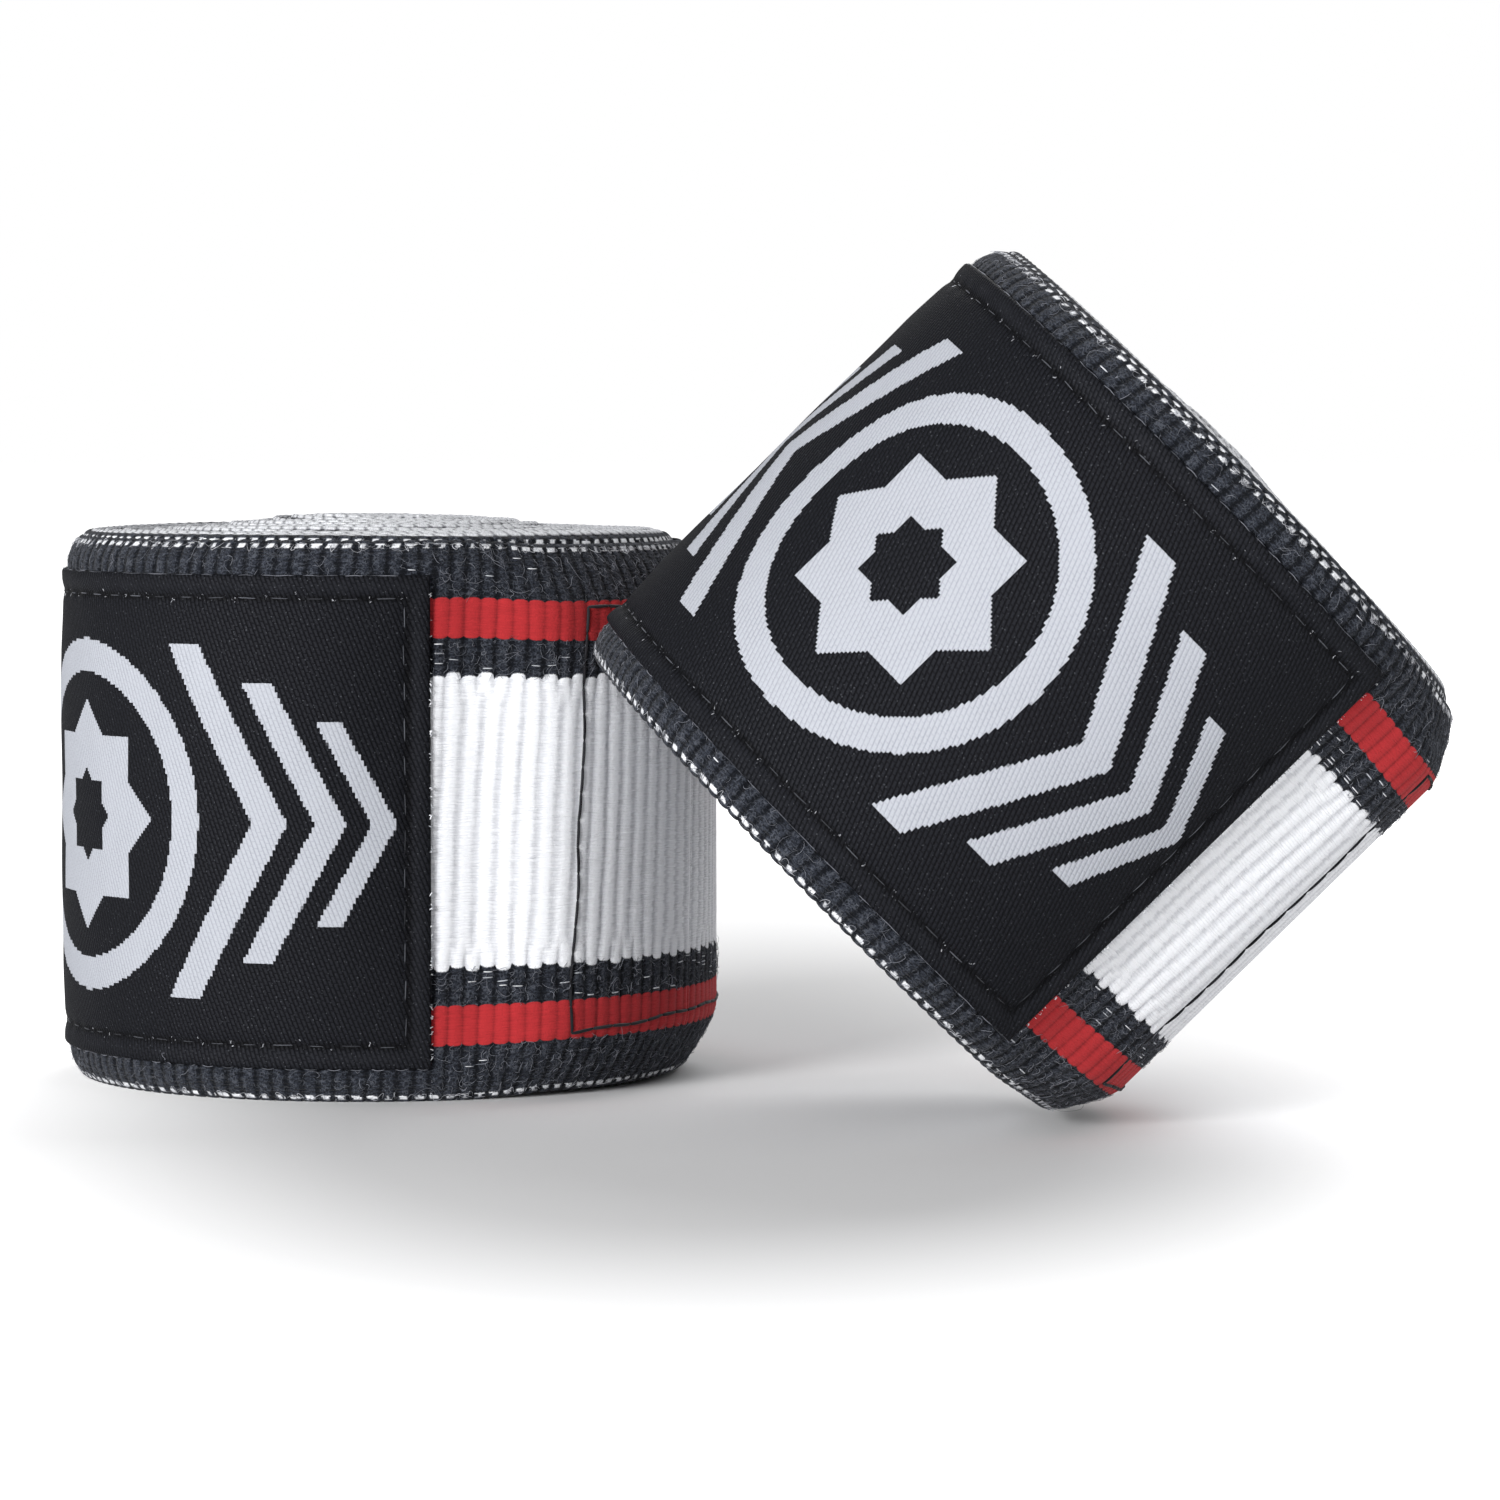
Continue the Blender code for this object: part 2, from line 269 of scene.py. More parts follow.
print("stripes end at", [round(x / MM, 2) for x in (WHITE_HALF, INNER_CHARCOAL, RED)], "mm from the middle")


def in_white(height):
    """How far the ribs have merged into the wider ones of the white stripe."""
    return ease((WHITE_HALF - np.abs(height - MIDDLE)) / RIB_MERGE)


def one_relief(rib, height):
    across = np.abs(2 * (rib - np.floor(rib)) - 1)
    fullness = 1 + 0.25 * np.sin(3.1 * np.floor(rib) + 0.35 * height / MM)
    return across ** 2.6 * fullness


def rib_relief(rib, height):
    """0 on the crown of a rib, and down to minus the depth in the grooves."""
    merged = in_white(height)
    groove = one_relief(rib, height) * (1 - merged) + one_relief(rib * WHITE_RIBS, height) * merged
    return -rib_depth(height) * groove


# %% [markdown]
# ## The two places
# The rolls are alike, so each piece is worked out on one roll standing at the origin. The two
# places could be found by eye, but the hinges give them exactly: they lie along the axis, and
# the first and the last of them give the turn about it. So what is made on the upright roll
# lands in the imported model's place to a hundredth of a millimetre.

# %% Place of each roll
joints = {joint["name"]: joint for joint in frame["joints"]}


def hinge_at(k):
    turned = turned_to(HINGE_ANGLES[k])
    radius = seat_radius(turned) + STACK + BAND_THICKNESS
    return Vector(on_roll(turned, radius, MIDDLE))


def roll_place(prefix):
    """Matrix that takes the upright roll to this one."""
    first, last = (Vector(joints[f"{prefix}_peel_{k}"]["pos_m"]) for k in (1, 3))
    up = -Vector(joints[f"{prefix}_peel_1"]["axis"]).normalized()
    here = (hinge_at(2) - hinge_at(0)).normalized()
    there = (last - first).normalized()
    own = Matrix((here, Vector((0, 0, 1)).cross(here), Vector((0, 0, 1)))).transposed()
    turn = Matrix((there, up.cross(there), up)).transposed() @ own.inverted()
    return Matrix.Translation(first - turn @ hinge_at(0)) @ turn.to_4x4()


PLACES = {prefix: roll_place(prefix) for prefix in ("standing", "leaning")}
for prefix, place in PLACES.items():
    miss = (place @ hinge_at(1) - Vector(joints[f"{prefix}_peel_2"]["pos_m"])).length
    print(prefix, "roll at", [round(x / MM, 2) for x in place.translation], "mm, off by", round(miss / MM, 4))

# %% [markdown]
# ## Shader maths as expressions
# A finish is arithmetic on a few numbers. Its nodes could be placed and linked one by one, but
# then nobody can read the formula. Here a small class wraps a node's output, so arithmetic is
# written as arithmetic, and one method adds any other node.

# %% Sockets that add up
class Value:
    """A number in a material's node tree."""

    def __init__(self, finish, socket):
        self.finish, self.socket = finish, socket

    def maths(self, operation, *others):
        return self.finish.add("ShaderNodeMath", {"operation": operation}, [self, *others])

    def __add__(self, other): return self.maths('ADD', other)
    def __radd__(self, other): return self.maths('ADD', other)
    def __sub__(self, other): return self.maths('SUBTRACT', other)
    def __rsub__(self, other): return (self * -1) + other
    def __mul__(self, other): return self.maths('MULTIPLY', other)
    def __rmul__(self, other): return self.maths('MULTIPLY', other)
    def __truediv__(self, other): return self.maths('DIVIDE', other)
    def __rtruediv__(self, other): return self.maths('POWER', -1.0) * other
    def __pow__(self, other): return self.maths('POWER', other)
    def __abs__(self): return self.maths('ABSOLUTE')
    def floor(self): return self.maths('FLOOR')
    def fract(self): return self.maths('FRACT')
    def least(self, other): return self.maths('MINIMUM', other)
    def most(self, other): return self.maths('MAXIMUM', other)

    def rise(self, low, high):
        """0 below low, 1 above high, and an S between them."""
        settings = {"interpolation_type": 'SMOOTHSTEP'}
        return self.finish.add("ShaderNodeMapRange", settings, [self, low, high, 0.0, 1.0])

    def fall(self, low, high):
        return 1 - self.rise(low, high)


# %% A material and its node tree
class Finish:
    """A new material, whose shader takes constants by name, with _ for each space."""

    def __init__(self, name, **constants):
        self.material = bpy.data.materials.new(name)
        self.material.use_nodes = True
        self.tree = self.material.node_tree
        self.shader = self.tree.nodes["Principled BSDF"]
        self.feed(self.shader, {name.replace("_", " "): value for name, value in constants.items()})

    def feed(self, node, values):
        """Links and plain values into the sockets of a node, by place or by name."""
        for key, value in values.items():
            if isinstance(value, Value):
                self.tree.links.new(value.socket, node.inputs[key])
            else:
                node.inputs[key].default_value = value

    def add(self, kind, settings=None, values=(), output=0):
        """One node: its settings first, then what goes into its sockets."""
        node = self.tree.nodes.new(kind)
        for key, value in (settings or {}).items():
            setattr(node, key, value)
        self.feed(node, values if isinstance(values, dict) else dict(enumerate(values)))
        return Value(self, node.outputs[output])

    def number(self, name):
        """A number that give() put on the mesh."""
        return self.add("ShaderNodeAttribute", {"attribute_name": name}, output="Fac")

    def vector(self, x, y, z=0.0):
        return self.add("ShaderNodeCombineXYZ", values=[x, y, z])

    def noise(self, place, scale, detail=2.0, roughness=0.5):
        values = {"Vector": place, "Scale": scale, "Detail": detail, "Roughness": roughness}
        return self.add("ShaderNodeTexNoise", values=values)

    def random(self, place):
        """One random number for each whole place."""
        return self.add("ShaderNodeTexWhiteNoise", {"noise_dimensions": '2D'}, {"Vector": place})

    def mix(self, factor, a, b):
        """A colour from a to b. The node keeps its colours in sockets 6 and 7, and in output 2."""
        a, b = (color if isinstance(color, Value) else (*color, 1.0) for color in (a, b))
        return self.add("ShaderNodeMix", {"data_type": 'RGBA'}, {0: factor, 6: a, 7: b}, output=2)

    def shade(self, color, roughness=None, height=None):
        """Feeds the shader; height is the relief of the surface, in millimetres."""
        values = {"Base Color": color}
        if roughness is not None:
            values["Roughness"] = roughness
        if height is not None:
            bump = {"Strength": 1.0, "Distance": MM, "Height": height}
            values["Normal"] = self.add("ShaderNodeBump", values=bump)
        self.feed(self.shader, values)
        return self.material


# %% [markdown]
# ## The striped weave
# White in the middle, then charcoal, red and charcoal again to each selvedge. An image could
# be laid over it, but its threads would blur and miss the ribs; with a few numbers on every
# point, nodes draw each thread in its place. The boundaries are woven, so they step with the
# ribs. The white threads run along the band over each rib and dive into the groove. The
# charcoal is a melange: dark threads full of pale lint, with floats of white weft here and
# there. Half a millimetre in from the selvedge the white weft comes up as a row of slanting
# dashes, and the crowded edges of the inner turns look pale.

# %% Colours of the stripes
# The crown colours are the threads' own. The groove colours are the same threads in painted shade, darker
# than the crowns, though the grooves are also real relief.
WHITE_CROWN, WHITE_GROOVE = (0.80, 0.81, 0.84), (0.62, 0.63, 0.665)
RED_CROWN, RED_GROOVE = (0.40, 0.026, 0.030), (0.20, 0.014, 0.017)
CHARCOAL_DARK, CHARCOAL_MID = (0.0038, 0.0047, 0.0072), (0.027, 0.031, 0.042)
LINT_GREY, INNER_EDGE = (0.115, 0.125, 0.15), (0.52, 0.53, 0.56)
SELVEDGE_WHITE, SELVEDGE_SOILED = (0.80, 0.81, 0.84), (0.30, 0.31, 0.34)
THREAD_PITCH = 0.27              # mm between the threads that run along the band
FLOAT_PITCH = 0.43               # mm between the rows of weft floats
SELVEDGE_SLANT = 0.18            # in ribs, how far the loops lean through the thickness
OUTER_RIBS = float(rib_of(WOUND - 500))
OUTER_FADE = 60                  # ribs over which the dashes on the face come up


def stripe_masks(from_middle, groove, jag, parity):
    """Where white and red lie; their edges are ragged and curve with the ribs."""
    scallop = groove * 0.26
    white = (from_middle + jag + scallop - parity * 0.32).fall(12.95, 13.1)
    red_in = (from_middle + jag * 0.4 - scallop * 0.8).rise(16.3, 16.4)
    red_out = (from_middle + jag * 0.4 + scallop * 0.8).fall(19.95, 20.05)
    return white, red_in * red_out


# %% The charcoal melange
def fibres(f, place, scale, width):
    """Curly lines, broken up, for the lint that is too fine to model."""
    lines = abs(f.noise(place, scale, 1.0) - 0.5).fall(width * 0.4, width)
    return lines * f.noise(place, scale * 0.8, 0.0).rise(0.47, 0.60)


def melange(f, place, turned_place, haze, groove):
    """Dark threads where haze is low, and pale lint where it is high."""
    dark = f.mix(haze.rise(0.32, 0.60), CHARCOAL_DARK, CHARCOAL_MID)
    wisps = fibres(f, place, 1.5, 0.035).most(fibres(f, turned_place, 2.6, 0.045))
    # The wisps of lint are dimmed in the grooves as painted shade.
    return f.mix((haze.rise(0.56, 0.80) * 0.55).most(wisps * (0.42 - groove * 0.30)), dark, LINT_GREY)


# %% The selvedge
def selvedge(rib, around, edge, inward, grain, chance):
    """Masks: the loops that show, the crowded inner edges, and how soiled a loop is."""
    deep = rib.rise(OUTER_RIBS - OUTER_FADE, OUTER_RIBS)
    slant = (rib + around * SELVEDGE_SLANT + (inward + grain * 0.3) * 0.35 * deep).fract()
    along_dash = (abs(slant - 0.5) * 2 + ((chance - 0.5) * 0.7 + 0.26) * deep).fall(0.55, 0.80)
    on_edge = (abs(around + 0.40)).fall(0.36, 0.60) * edge.rise(0.02, 0.25)
    frayed = inward + (grain - 0.5) * 0.25
    on_face = inward.rise(0.24, 0.34) * frayed.fall(0.55, 0.68) * around.fall(-0.8, -0.5)
    dash = along_dash * (on_edge + (on_face - on_edge) * deep)
    back = (abs((slant + 0.5).fract() - 0.5) * 2).fall(0.55, 0.85) * (abs(around - 0.75)).fall(0.25, 0.55)
    loops = dash.most(back * 0.6 * (1 - deep) * edge.rise(0.02, 0.25))
    crowded = edge.rise(0.2, 0.8) * (1 - deep) * (0.90 - abs(slant * 2 - 1).rise(0.80, 0.95) * 0.40)
    soiled = (grain + (chance - 0.5) * 0.4 * deep).rise(0.35, 0.8) * 0.8
    return loops, crowded, soiled


# %% Finish of the striped band
def striped_weave():
    f = Finish("striped_band", Sheen_Weight=0.07, Sheen_Roughness=0.5, Specular_IOR_Level=0.07)
    rib, y, edge, around = (f.number(n) for n in ("rib", "height_mm", "edge", "around"))
    rib_mm = rib * (RIB_PITCH / MM)
    place = f.vector(rib_mm, y)
    blotch = f.noise(place, 0.35, 2.0)
    grain = f.noise(place, 7.0, 3.0, 0.7)
    speckle = f.noise(f.vector(rib_mm, y * 1.2), 5.5, 2.0, 0.8)
    from_middle = abs(y - BAND_WIDTH / MM / 2)
    inward = BAND_WIDTH / MM / 2 - from_middle

    drift = (f.noise(f.vector(rib_mm * 0.5, y * 2.0), 0.8, 1.0) - 0.5) * 2.0
    row = y / THREAD_PITCH + drift
    thread = abs(row.fract() * 2 - 1)
    wide = rib * WHITE_RIBS
    chance = f.random(f.vector(row.floor(), (wide + 0.5).floor()))
    merged = from_middle.fall(10.2, 12.8)
    narrow_groove = abs(rib.fract() * 2 - 1)
    wide_groove = abs((wide + (chance - 0.5) * 0.22).fract() * 2 - 1)
    groove = narrow_groove ** 3.0
    soft = (narrow_groove * (1 - merged) + wide_groove * merged).rise(0.25, 1.0)
    parity = (rib * 0.5).fract().rise(0.45, 0.55) - (rib * 0.5).fract().rise(0.95, 1.0)
    white, red = stripe_masks(from_middle, groove, (grain - 0.5) * 0.35, parity)

    # Painted shade: the white darkens in its grooves and between its threads, and the red in its grooves. The
    # grain adds the threads' own tone.
    shadow = soft * (0.62 + chance * 0.5) + (thread ** 2.0) * (0.12 + soft * 0.25)
    white_shade = (shadow + (grain - 0.5) * 0.35).rise(0.0, 1.15)
    red_shade = (groove * 0.6 + thread * 0.22 + (grain - 0.4) * 0.5 + (chance - 0.5) * 0.2).rise(0.0, 1.1)
    lumps = abs((y / FLOAT_PITCH + drift + (rib + 0.5).floor() * 0.5).fract() * 2 - 1)
    # Part of the haze is painted shade: it drops in the grooves of the charcoal ribs. The rest is the
    # melange's own speckle and lumps.
    haze = speckle + (blotch - 0.5) * 0.16 - narrow_groove.rise(0.35, 1.0) * 0.24 - (lumps - 0.5) * 0.16
    loops, crowded, soiled = selvedge(rib, around, edge, inward, grain, chance)

    charcoal = melange(f, place, f.vector(y, rib_mm, 7.0), haze, groove)
    color = f.mix(white, charcoal, f.mix(white_shade, WHITE_CROWN, WHITE_GROOVE))
    color = f.mix(red, color, f.mix(red_shade, RED_CROWN, RED_GROOVE))
    color = f.mix(crowded, color, INNER_EDGE)
    color = f.mix(loops, color, f.mix(soiled, SELVEDGE_WHITE, SELVEDGE_SOILED))
    relief = thread * -0.035 + (grain - 0.5) * 0.06 + soft * (chance - 0.5) * 0.10 * white
    relief = relief + ((speckle - 0.5) * 0.16 - lumps * 0.07) * (1 - white)
    return f.shade(color, 0.82 + grain * 0.15, relief * (1 - red * 0.6))


STRIPED = striped_weave()
print("nodes in the striped finish:", len(STRIPED.node_tree.nodes))

# %% [markdown]
# ## Winding the band
# A strip could be laid flat and bent by a modifier, but it would miss the hinges and the climb
# of the closure, so every point is placed by its rib and height. A stretch of band is a grid:
# columns along it, set closer round each groove, and a closed ring of points across it, up the
# outer face, round the looped selvedge, down the inner face and back. Of the inner turns only
# the selvedges show, so their rings are all edge.

# %% Closed meshes from a grid of points
def new_piece(name, points, faces, finish):
    """A smooth mesh object, with its faces turned outward."""
    points = np.asarray(points, float).reshape(-1, 3)
    mesh = bpy.data.meshes.new(name)
    mesh.from_pydata(points.tolist(), [], faces)
    mesh.materials.append(finish)
    mesh.polygons.foreach_set("use_smooth", [len(face) == 4 for face in faces])
    piece = bpy.data.objects.new(name, mesh)
    bpy.context.scene.collection.objects.link(piece)
    return piece


def ring_faces(columns, ring, closed=False):
    """Faces of a tube of columns, each a closed ring of points; closed joins its two ends."""
    index = np.arange(columns * ring).reshape(columns, ring)
    here, following = (index, np.roll(index, -1, 0)) if closed else (index[:-1], index[1:])
    quads = np.stack([here, following, np.roll(following, -1, 1), np.roll(here, -1, 1)], -1)
    caps = [] if closed else [index[0].tolist(), index[-1][::-1].tolist()]
    return quads.reshape(-1, 4).tolist() + caps


def give(piece, *shape, **values):
    """Numbers on every point of a piece, or of a grid of this shape, for its finish to read."""
    for name, numbers in values.items():
        attribute = piece.data.attributes.new(name, 'FLOAT', 'POINT')
        grid = np.broadcast_to(numbers, shape or np.shape(numbers))
        attribute.data.foreach_set("value", grid.astype(np.float32).ravel())


# %% The ring of points across the band
FINE_COLUMNS = (0.0, 0.19, 0.38, 0.5, 0.62, 0.81)    # from the crown of one rib to the next
COARSE_COLUMNS = (0.0, 0.34, 0.66)
FACE_ROWS, BACK_ROWS, EDGE_POINTS = 76, 9, 5
BEAD = 0.16 * MM                 # how far the weft loops stand out at the selvedge
BEAD_SWELL = 0.35                # of that, how much they also thicken it
FACE_MARGIN = 0.30 * MM          # the face ends this far short of the selvedge


def band_ring(face_rows, back_rows, edge_points):
    """Rows round the band: height, place through the thickness, edge and around."""
    low = FACE_MARGIN + BEAD / 2
    high = BAND_WIDTH - low
    rows = [(h, 1.0, 0.0, -1.0) for h in np.linspace(low, high, face_rows)]
    turns = [pi * k / (edge_points + 1) for k in range(1, edge_points + 1)]
    rows += [(high + FACE_MARGIN * sin(t), cos(t), sin(t), -cos(t)) for t in turns]
    rows += [(h, -1.0, 0.0, 1.0) for h in np.linspace(high, low, back_rows)]
    rows += [(low - FACE_MARGIN * sin(t), -cos(t), sin(t), cos(t)) for t in turns]
    return np.array(rows).T


print("points round the band:", band_ring(FACE_ROWS, BACK_ROWS, EDGE_POINTS).shape[1])


# %% A stretch of band
def band_stretch(name, first, last, columns, face_rows, back_rows, edge_points):
    """Closed piece of band from one rib to another, before it is placed on its roll."""
    ribs = np.array([k + c for k in np.arange(first, last) for c in columns] + [last])
    height, through, edge, around = band_ring(face_rows, back_rows, edge_points)
    rib = ribs[:, None]
    leaning = rib + SELVEDGE_SLANT * around
    bead = BEAD * (1 - np.abs(2 * (leaning - np.floor(leaning)) - 1) ** 3) * edge
    side = np.where(height > MIDDLE, 1.0, -1.0)
    out = through * BAND_THICKNESS / 2 + rib_relief(rib, height) * (through > 0.99)
    out = out + bead * BEAD_SWELL * through
    points = on_band(rib, height + side * bead, out)
    piece = new_piece(name, points, ring_faces(len(ribs), len(height)), STRIPED)
    give(piece, len(ribs), len(height), rib=rib, height_mm=height / MM, edge=edge, around=around)
    return piece


# %% Where the stretches meet
def nearest_rib(angle):
    """Whole rib nearest an angle on the closure."""
    return round(float(rib_of(turned_to(angle))))


FIRST_CROWN = 0.5
LAST_TURN = round(float(rib_of(WOUND - 360))) + 0.5
BENDS_FROM = (66, 94, 122)       # degrees, half a link before each hinge
LINK_ENDS = [nearest_rib(a) + 0.5 for a in BENDS_FROM] + [int(rib_of(TIP)) - 0.5]
LINK_BODIES = ("roll", "end_1", "end_2", "end_3")
print("the outer turn and the three links meet at ribs", [LAST_TURN, *LINK_ENDS])


# %% How a piece rides
def put_on(prefix, piece, k=0):
    """Puts a piece on a roll; with k of 1 to 3 it is only baked in place, and does not bend across that hinge
    of the loose end.
    """
    piece.matrix_world = PLACES[prefix]
    if k == 0:
        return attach(piece, f"{prefix}_roll")
    ends = [on_band(float(LINK_ENDS[j]), MIDDLE) for j in (k - 1, min(k, 2))]
    if k == 3:
        turned = turned_to(2 * HINGE_ANGLES[2] - BENDS_FROM[2])
        ends[1] = on_roll(turned, band_radius(turned, MIDDLE), MIDDLE)
    start, end = (PLACES[prefix] @ Vector(p) for p in ends)
    bodies = [f"{prefix}_{LINK_BODIES[k - 1]}", f"{prefix}_{LINK_BODIES[k]}"]
    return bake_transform(piece)


def declare(piece, node):
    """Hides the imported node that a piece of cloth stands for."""
    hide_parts(node)


# %% Wind both rolls
COARSE = (COARSE_COLUMNS, 2, 2, 3)
FINE = (FINE_COLUMNS, FACE_ROWS, BACK_ROWS, EDGE_POINTS)


def wind(prefix, name, node, first, last, detail, k=0, rests_on=()):
    piece = put_on(prefix, band_stretch(f"{prefix}_{name}", first, last, *detail), k)
    flat = (BAND_WIDTH, float(last - first) * RIB_PITCH)
    declare(piece, f"{prefix}_{node}")
    return piece


for prefix in PLACES:
    inner = wind(prefix, "inner_turns", "wound_band", FIRST_CROWN, LAST_TURN, COARSE)
    outer = wind(prefix, "outer_turn", "closure_band", LAST_TURN, LINK_ENDS[0], FINE, rests_on=[inner])
    for k in (1, 2, 3):
        wind(prefix, f"band_end_{k}", f"end_band_{k}", *LINK_ENDS[k - 1:k + 1], FINE, k, [outer])
    print(prefix, "band:", len(inner.data.vertices) + len(outer.data.vertices), "points in the turns")

# %% [markdown]
# ## Threads
# Stitches, floats, hooks, pile and lint are all short threads, and there are thousands of
# them. Each could be a curve with a bevel, but so many objects are slow. So one function sweeps
# a small polygon along many short paths at once, and joins them in one mesh.

# %% Many short threads in one mesh
def unit(vectors):
    return vectors / (np.linalg.norm(vectors, axis=2, keepdims=True) + 1e-12)


def sweep(name, paths, radius, sides, finish, ends=0.35):
    """Tubes along paths of equal point count; radius is one number or one for each path."""
    paths = np.asarray(paths, float)
    count, steps = paths.shape[:2]
    along = unit(np.gradient(paths, axis=1))
    beside = np.cross(along, unit(paths * (1, 1, 0)))
    weak = np.linalg.norm(beside, axis=2, keepdims=True) < 0.05
    beside = unit(np.where(weak, np.cross(along, (0.3, 0.2, 1.0)), beside))
    over = np.cross(beside, along)
    girth = ends + (1 - ends) * np.sqrt(1 - np.linspace(-1, 1, steps) ** 4)
    size = np.broadcast_to(radius, count)[:, None, None, None] * girth[None, :, None, None]
    turns = np.arange(sides) * 2 * pi / sides
    ring = np.cos(turns)[:, None] * beside[:, :, None] + np.sin(turns)[:, None] * over[:, :, None]
    one = ring_faces(steps, sides)
    quads, caps = np.array(one[:-2]), np.array(one[-2:])
    starts = (np.arange(count) * steps * sides)[:, None, None]
    faces = (quads + starts).reshape(-1, 4).tolist() + (caps + starts).reshape(-1, sides).tolist()
    piece = new_piece(name, paths[:, :, None] + size * ring, faces, finish)
    tone = np.random.default_rng(len(name)).random(count)
    give(piece, tone=np.repeat(tone, steps * sides))
    return piece


def report(what, *pieces):
    print(f"{what}: {len(pieces)} pieces, {sum(len(p.data.polygons) for p in pieces)} faces")


# %% Finish of threads, from one shade to another
def thread_finish(name, dark, light, roughness=0.8):
    f = Finish(name, Roughness=roughness, Specular_IOR_Level=0.15, Sheen_Weight=0.1)
    place = f.add("ShaderNodeTexCoord", output="Object")
    twist = f.noise(place, 3000.0, 2.0)
    return f.shade(f.mix((f.number("tone") * 0.8 + twist * 0.4 - 0.1).rise(0.0, 1.0), dark, light))


LINT = thread_finish("lint", (0.050, 0.054, 0.066), (0.24, 0.25, 0.29))
FLOATS = thread_finish("white_weft", (0.42, 0.44, 0.48), (0.78, 0.79, 0.82))
BLACK_THREAD = thread_finish("black_thread", (0.006, 0.006, 0.008), (0.02, 0.02, 0.024))
GREY_THREAD = thread_finish("grey_thread", (0.018, 0.019, 0.023), (0.085, 0.090, 0.104))
FLECKS = thread_finish("flecks", (0.10, 0.105, 0.12), (0.50, 0.51, 0.55))
print("thread finishes:", [m.name for m in (LINT, FLOATS, BLACK_THREAD, GREY_THREAD, FLECKS)])

# %% [markdown]
# ## The woven label
# Labels like this are woven in black satin, with the figure in silver weft floats. The figure
# here is a plain one: a star in a roundel, with three chevrons on each side. It could be cut
# out as a mesh of its own, but woven figures step from pick to pick, and arithmetic in the
# finish does that. The label is folded under all round and sewn down two millimetres inside
# its edges, so it is drawn in along the seam and stands a little proud in the middle.

# %% The label's figure
LABEL_LENGTH = 75.5 * MM
LABEL_HEIGHT = 44 * MM
LABEL_END = 13.0                 # degrees from the front
LABEL_CELL = 0.26                # mm, one pick of the figure
CHEVRONS = ((21.4, 3.4, 15.9), (27.3, 2.9, 12.6), (32.4, 2.3, 9.0))  # start, width, half height


def stepped(value, step):
    return ((value / step).floor() + 0.5) * step


def label_figure(x, y):
    """Mask of the star, the roundel and the chevrons, in steps of one pick."""
    cx, cy = abs(stepped(x, LABEL_CELL)), abs(stepped(y, LABEL_CELL))
    out = (cx ** 2.0 + cy ** 2.0) ** 0.5
    roundel = out.rise(13.0, 13.01) * out.fall(16.0, 16.01)
    straight, slanted = cx.most(cy), (cx + cy) * sqrt(0.5)
    star = straight.least(slanted).fall(7.4, 7.41) * out.fall(11.5, 11.51)
    heart = straight.least(slanted).rise(3.1, 3.11)
    spread = cx + cy * 0.55
    arrows = 0.0
    for start, width, height in CHEVRONS:
        bar = spread.rise(start, start + 0.01) * spread.fall(start + width, start + width + 0.01)
        arrows = bar * cy.fall(height, height + 0.01) + arrows
    return (roundel + star * heart).most(arrows)


# %% Finish of the label
SATIN_BLACK, SATIN_SHINE = (0.0010, 0.0011, 0.0018), (0.0105, 0.0112, 0.0145)
SILVER, SILVER_DARK = (0.385, 0.40, 0.44), (0.215, 0.225, 0.255)
# Painted shade in the seam's groove, and a painted highlight on the fold beside it.
SEAM_SHADE, FOLD_SHINE = (0.0003, 0.0003, 0.0005), (0.020, 0.021, 0.026)
SATIN_SPECK = (0.16, 0.17, 0.19)
LABEL_SEAM = 2.1                 # mm from the label's edge to its seam
LABEL_STITCH = 3.2               # mm
LABEL_GAP = 0.06                 # share of a stitch
TWILL, TWILL_FLOAT = 0.40, 0.62  # mm between the lines of the twill, and along a float


def woven_label():
    f = Finish("woven_label", Specular_IOR_Level=0.07)
    x, y = f.number("label_x"), f.number("label_y")
    place = f.vector(x, y)
    grain = f.noise(place, 9.0, 2.0, 0.6)
    shimmer = f.noise(f.vector(x * 0.6, y * 0.25), 0.8, 2.0)
    pick = (x * 0.93 + y * 0.37) / TWILL + (grain - 0.5) * 0.5
    dash = (y / TWILL_FLOAT + pick.floor() * 0.37 + (shimmer - 0.5) * 0.6).fract()
    twill = (abs(pick.fract() * 2 - 1) ** 2.0).most(abs(dash * 2 - 1) ** 6.0 * 0.8)
    figure = label_figure(x, y + grain * 0.2)

    black = f.mix((twill * 0.7 + (grain - 0.5) * 0.9 + 0.15).rise(0.1, 0.9), SATIN_SHINE, SATIN_BLACK)
    silver_shade = (twill * 0.65 + (grain - 0.5) * 0.5 + (shimmer - 0.5) * 0.3).rise(0.1, 1.0)
    inward = (LABEL_LENGTH / MM / 2 - abs(x)).least(LABEL_HEIGHT / MM / 2 - abs(y))
    # Painted shade along the seam and a painted highlight on the fold, both made patchy by this noise.
    painted_light_patchiness = (shimmer + (grain - 0.5) * 0.6).rise(0.35, 0.75)
    fold = abs(inward - (LABEL_SEAM - 1.0)).fall(0.0, 0.8) * (0.08 + painted_light_patchiness * 0.22)
    seam = abs(inward - LABEL_SEAM).fall(0.1, 0.5) * (0.45 + painted_light_patchiness * 0.3)
    black = f.mix(seam, f.mix(fold, black, FOLD_SHINE), SEAM_SHADE)
    color = f.mix(figure, black, f.mix(silver_shade, SILVER, SILVER_DARK))
    specks = f.noise(place, 5.0, 0.0).rise(0.74, 0.80)
    color = f.mix(specks * (1 - figure) * 0.25, color, SATIN_SPECK)
    relief = twill * (figure * 0.025 - 0.06) + figure * 0.07 + (grain - 0.5) * 0.03
    return f.shade(color, 0.50 + grain * 0.15 + figure * 0.08, relief)


WOVEN_LABEL = woven_label()
print("nodes in the label's finish:", len(WOVEN_LABEL.node_tree.nodes))

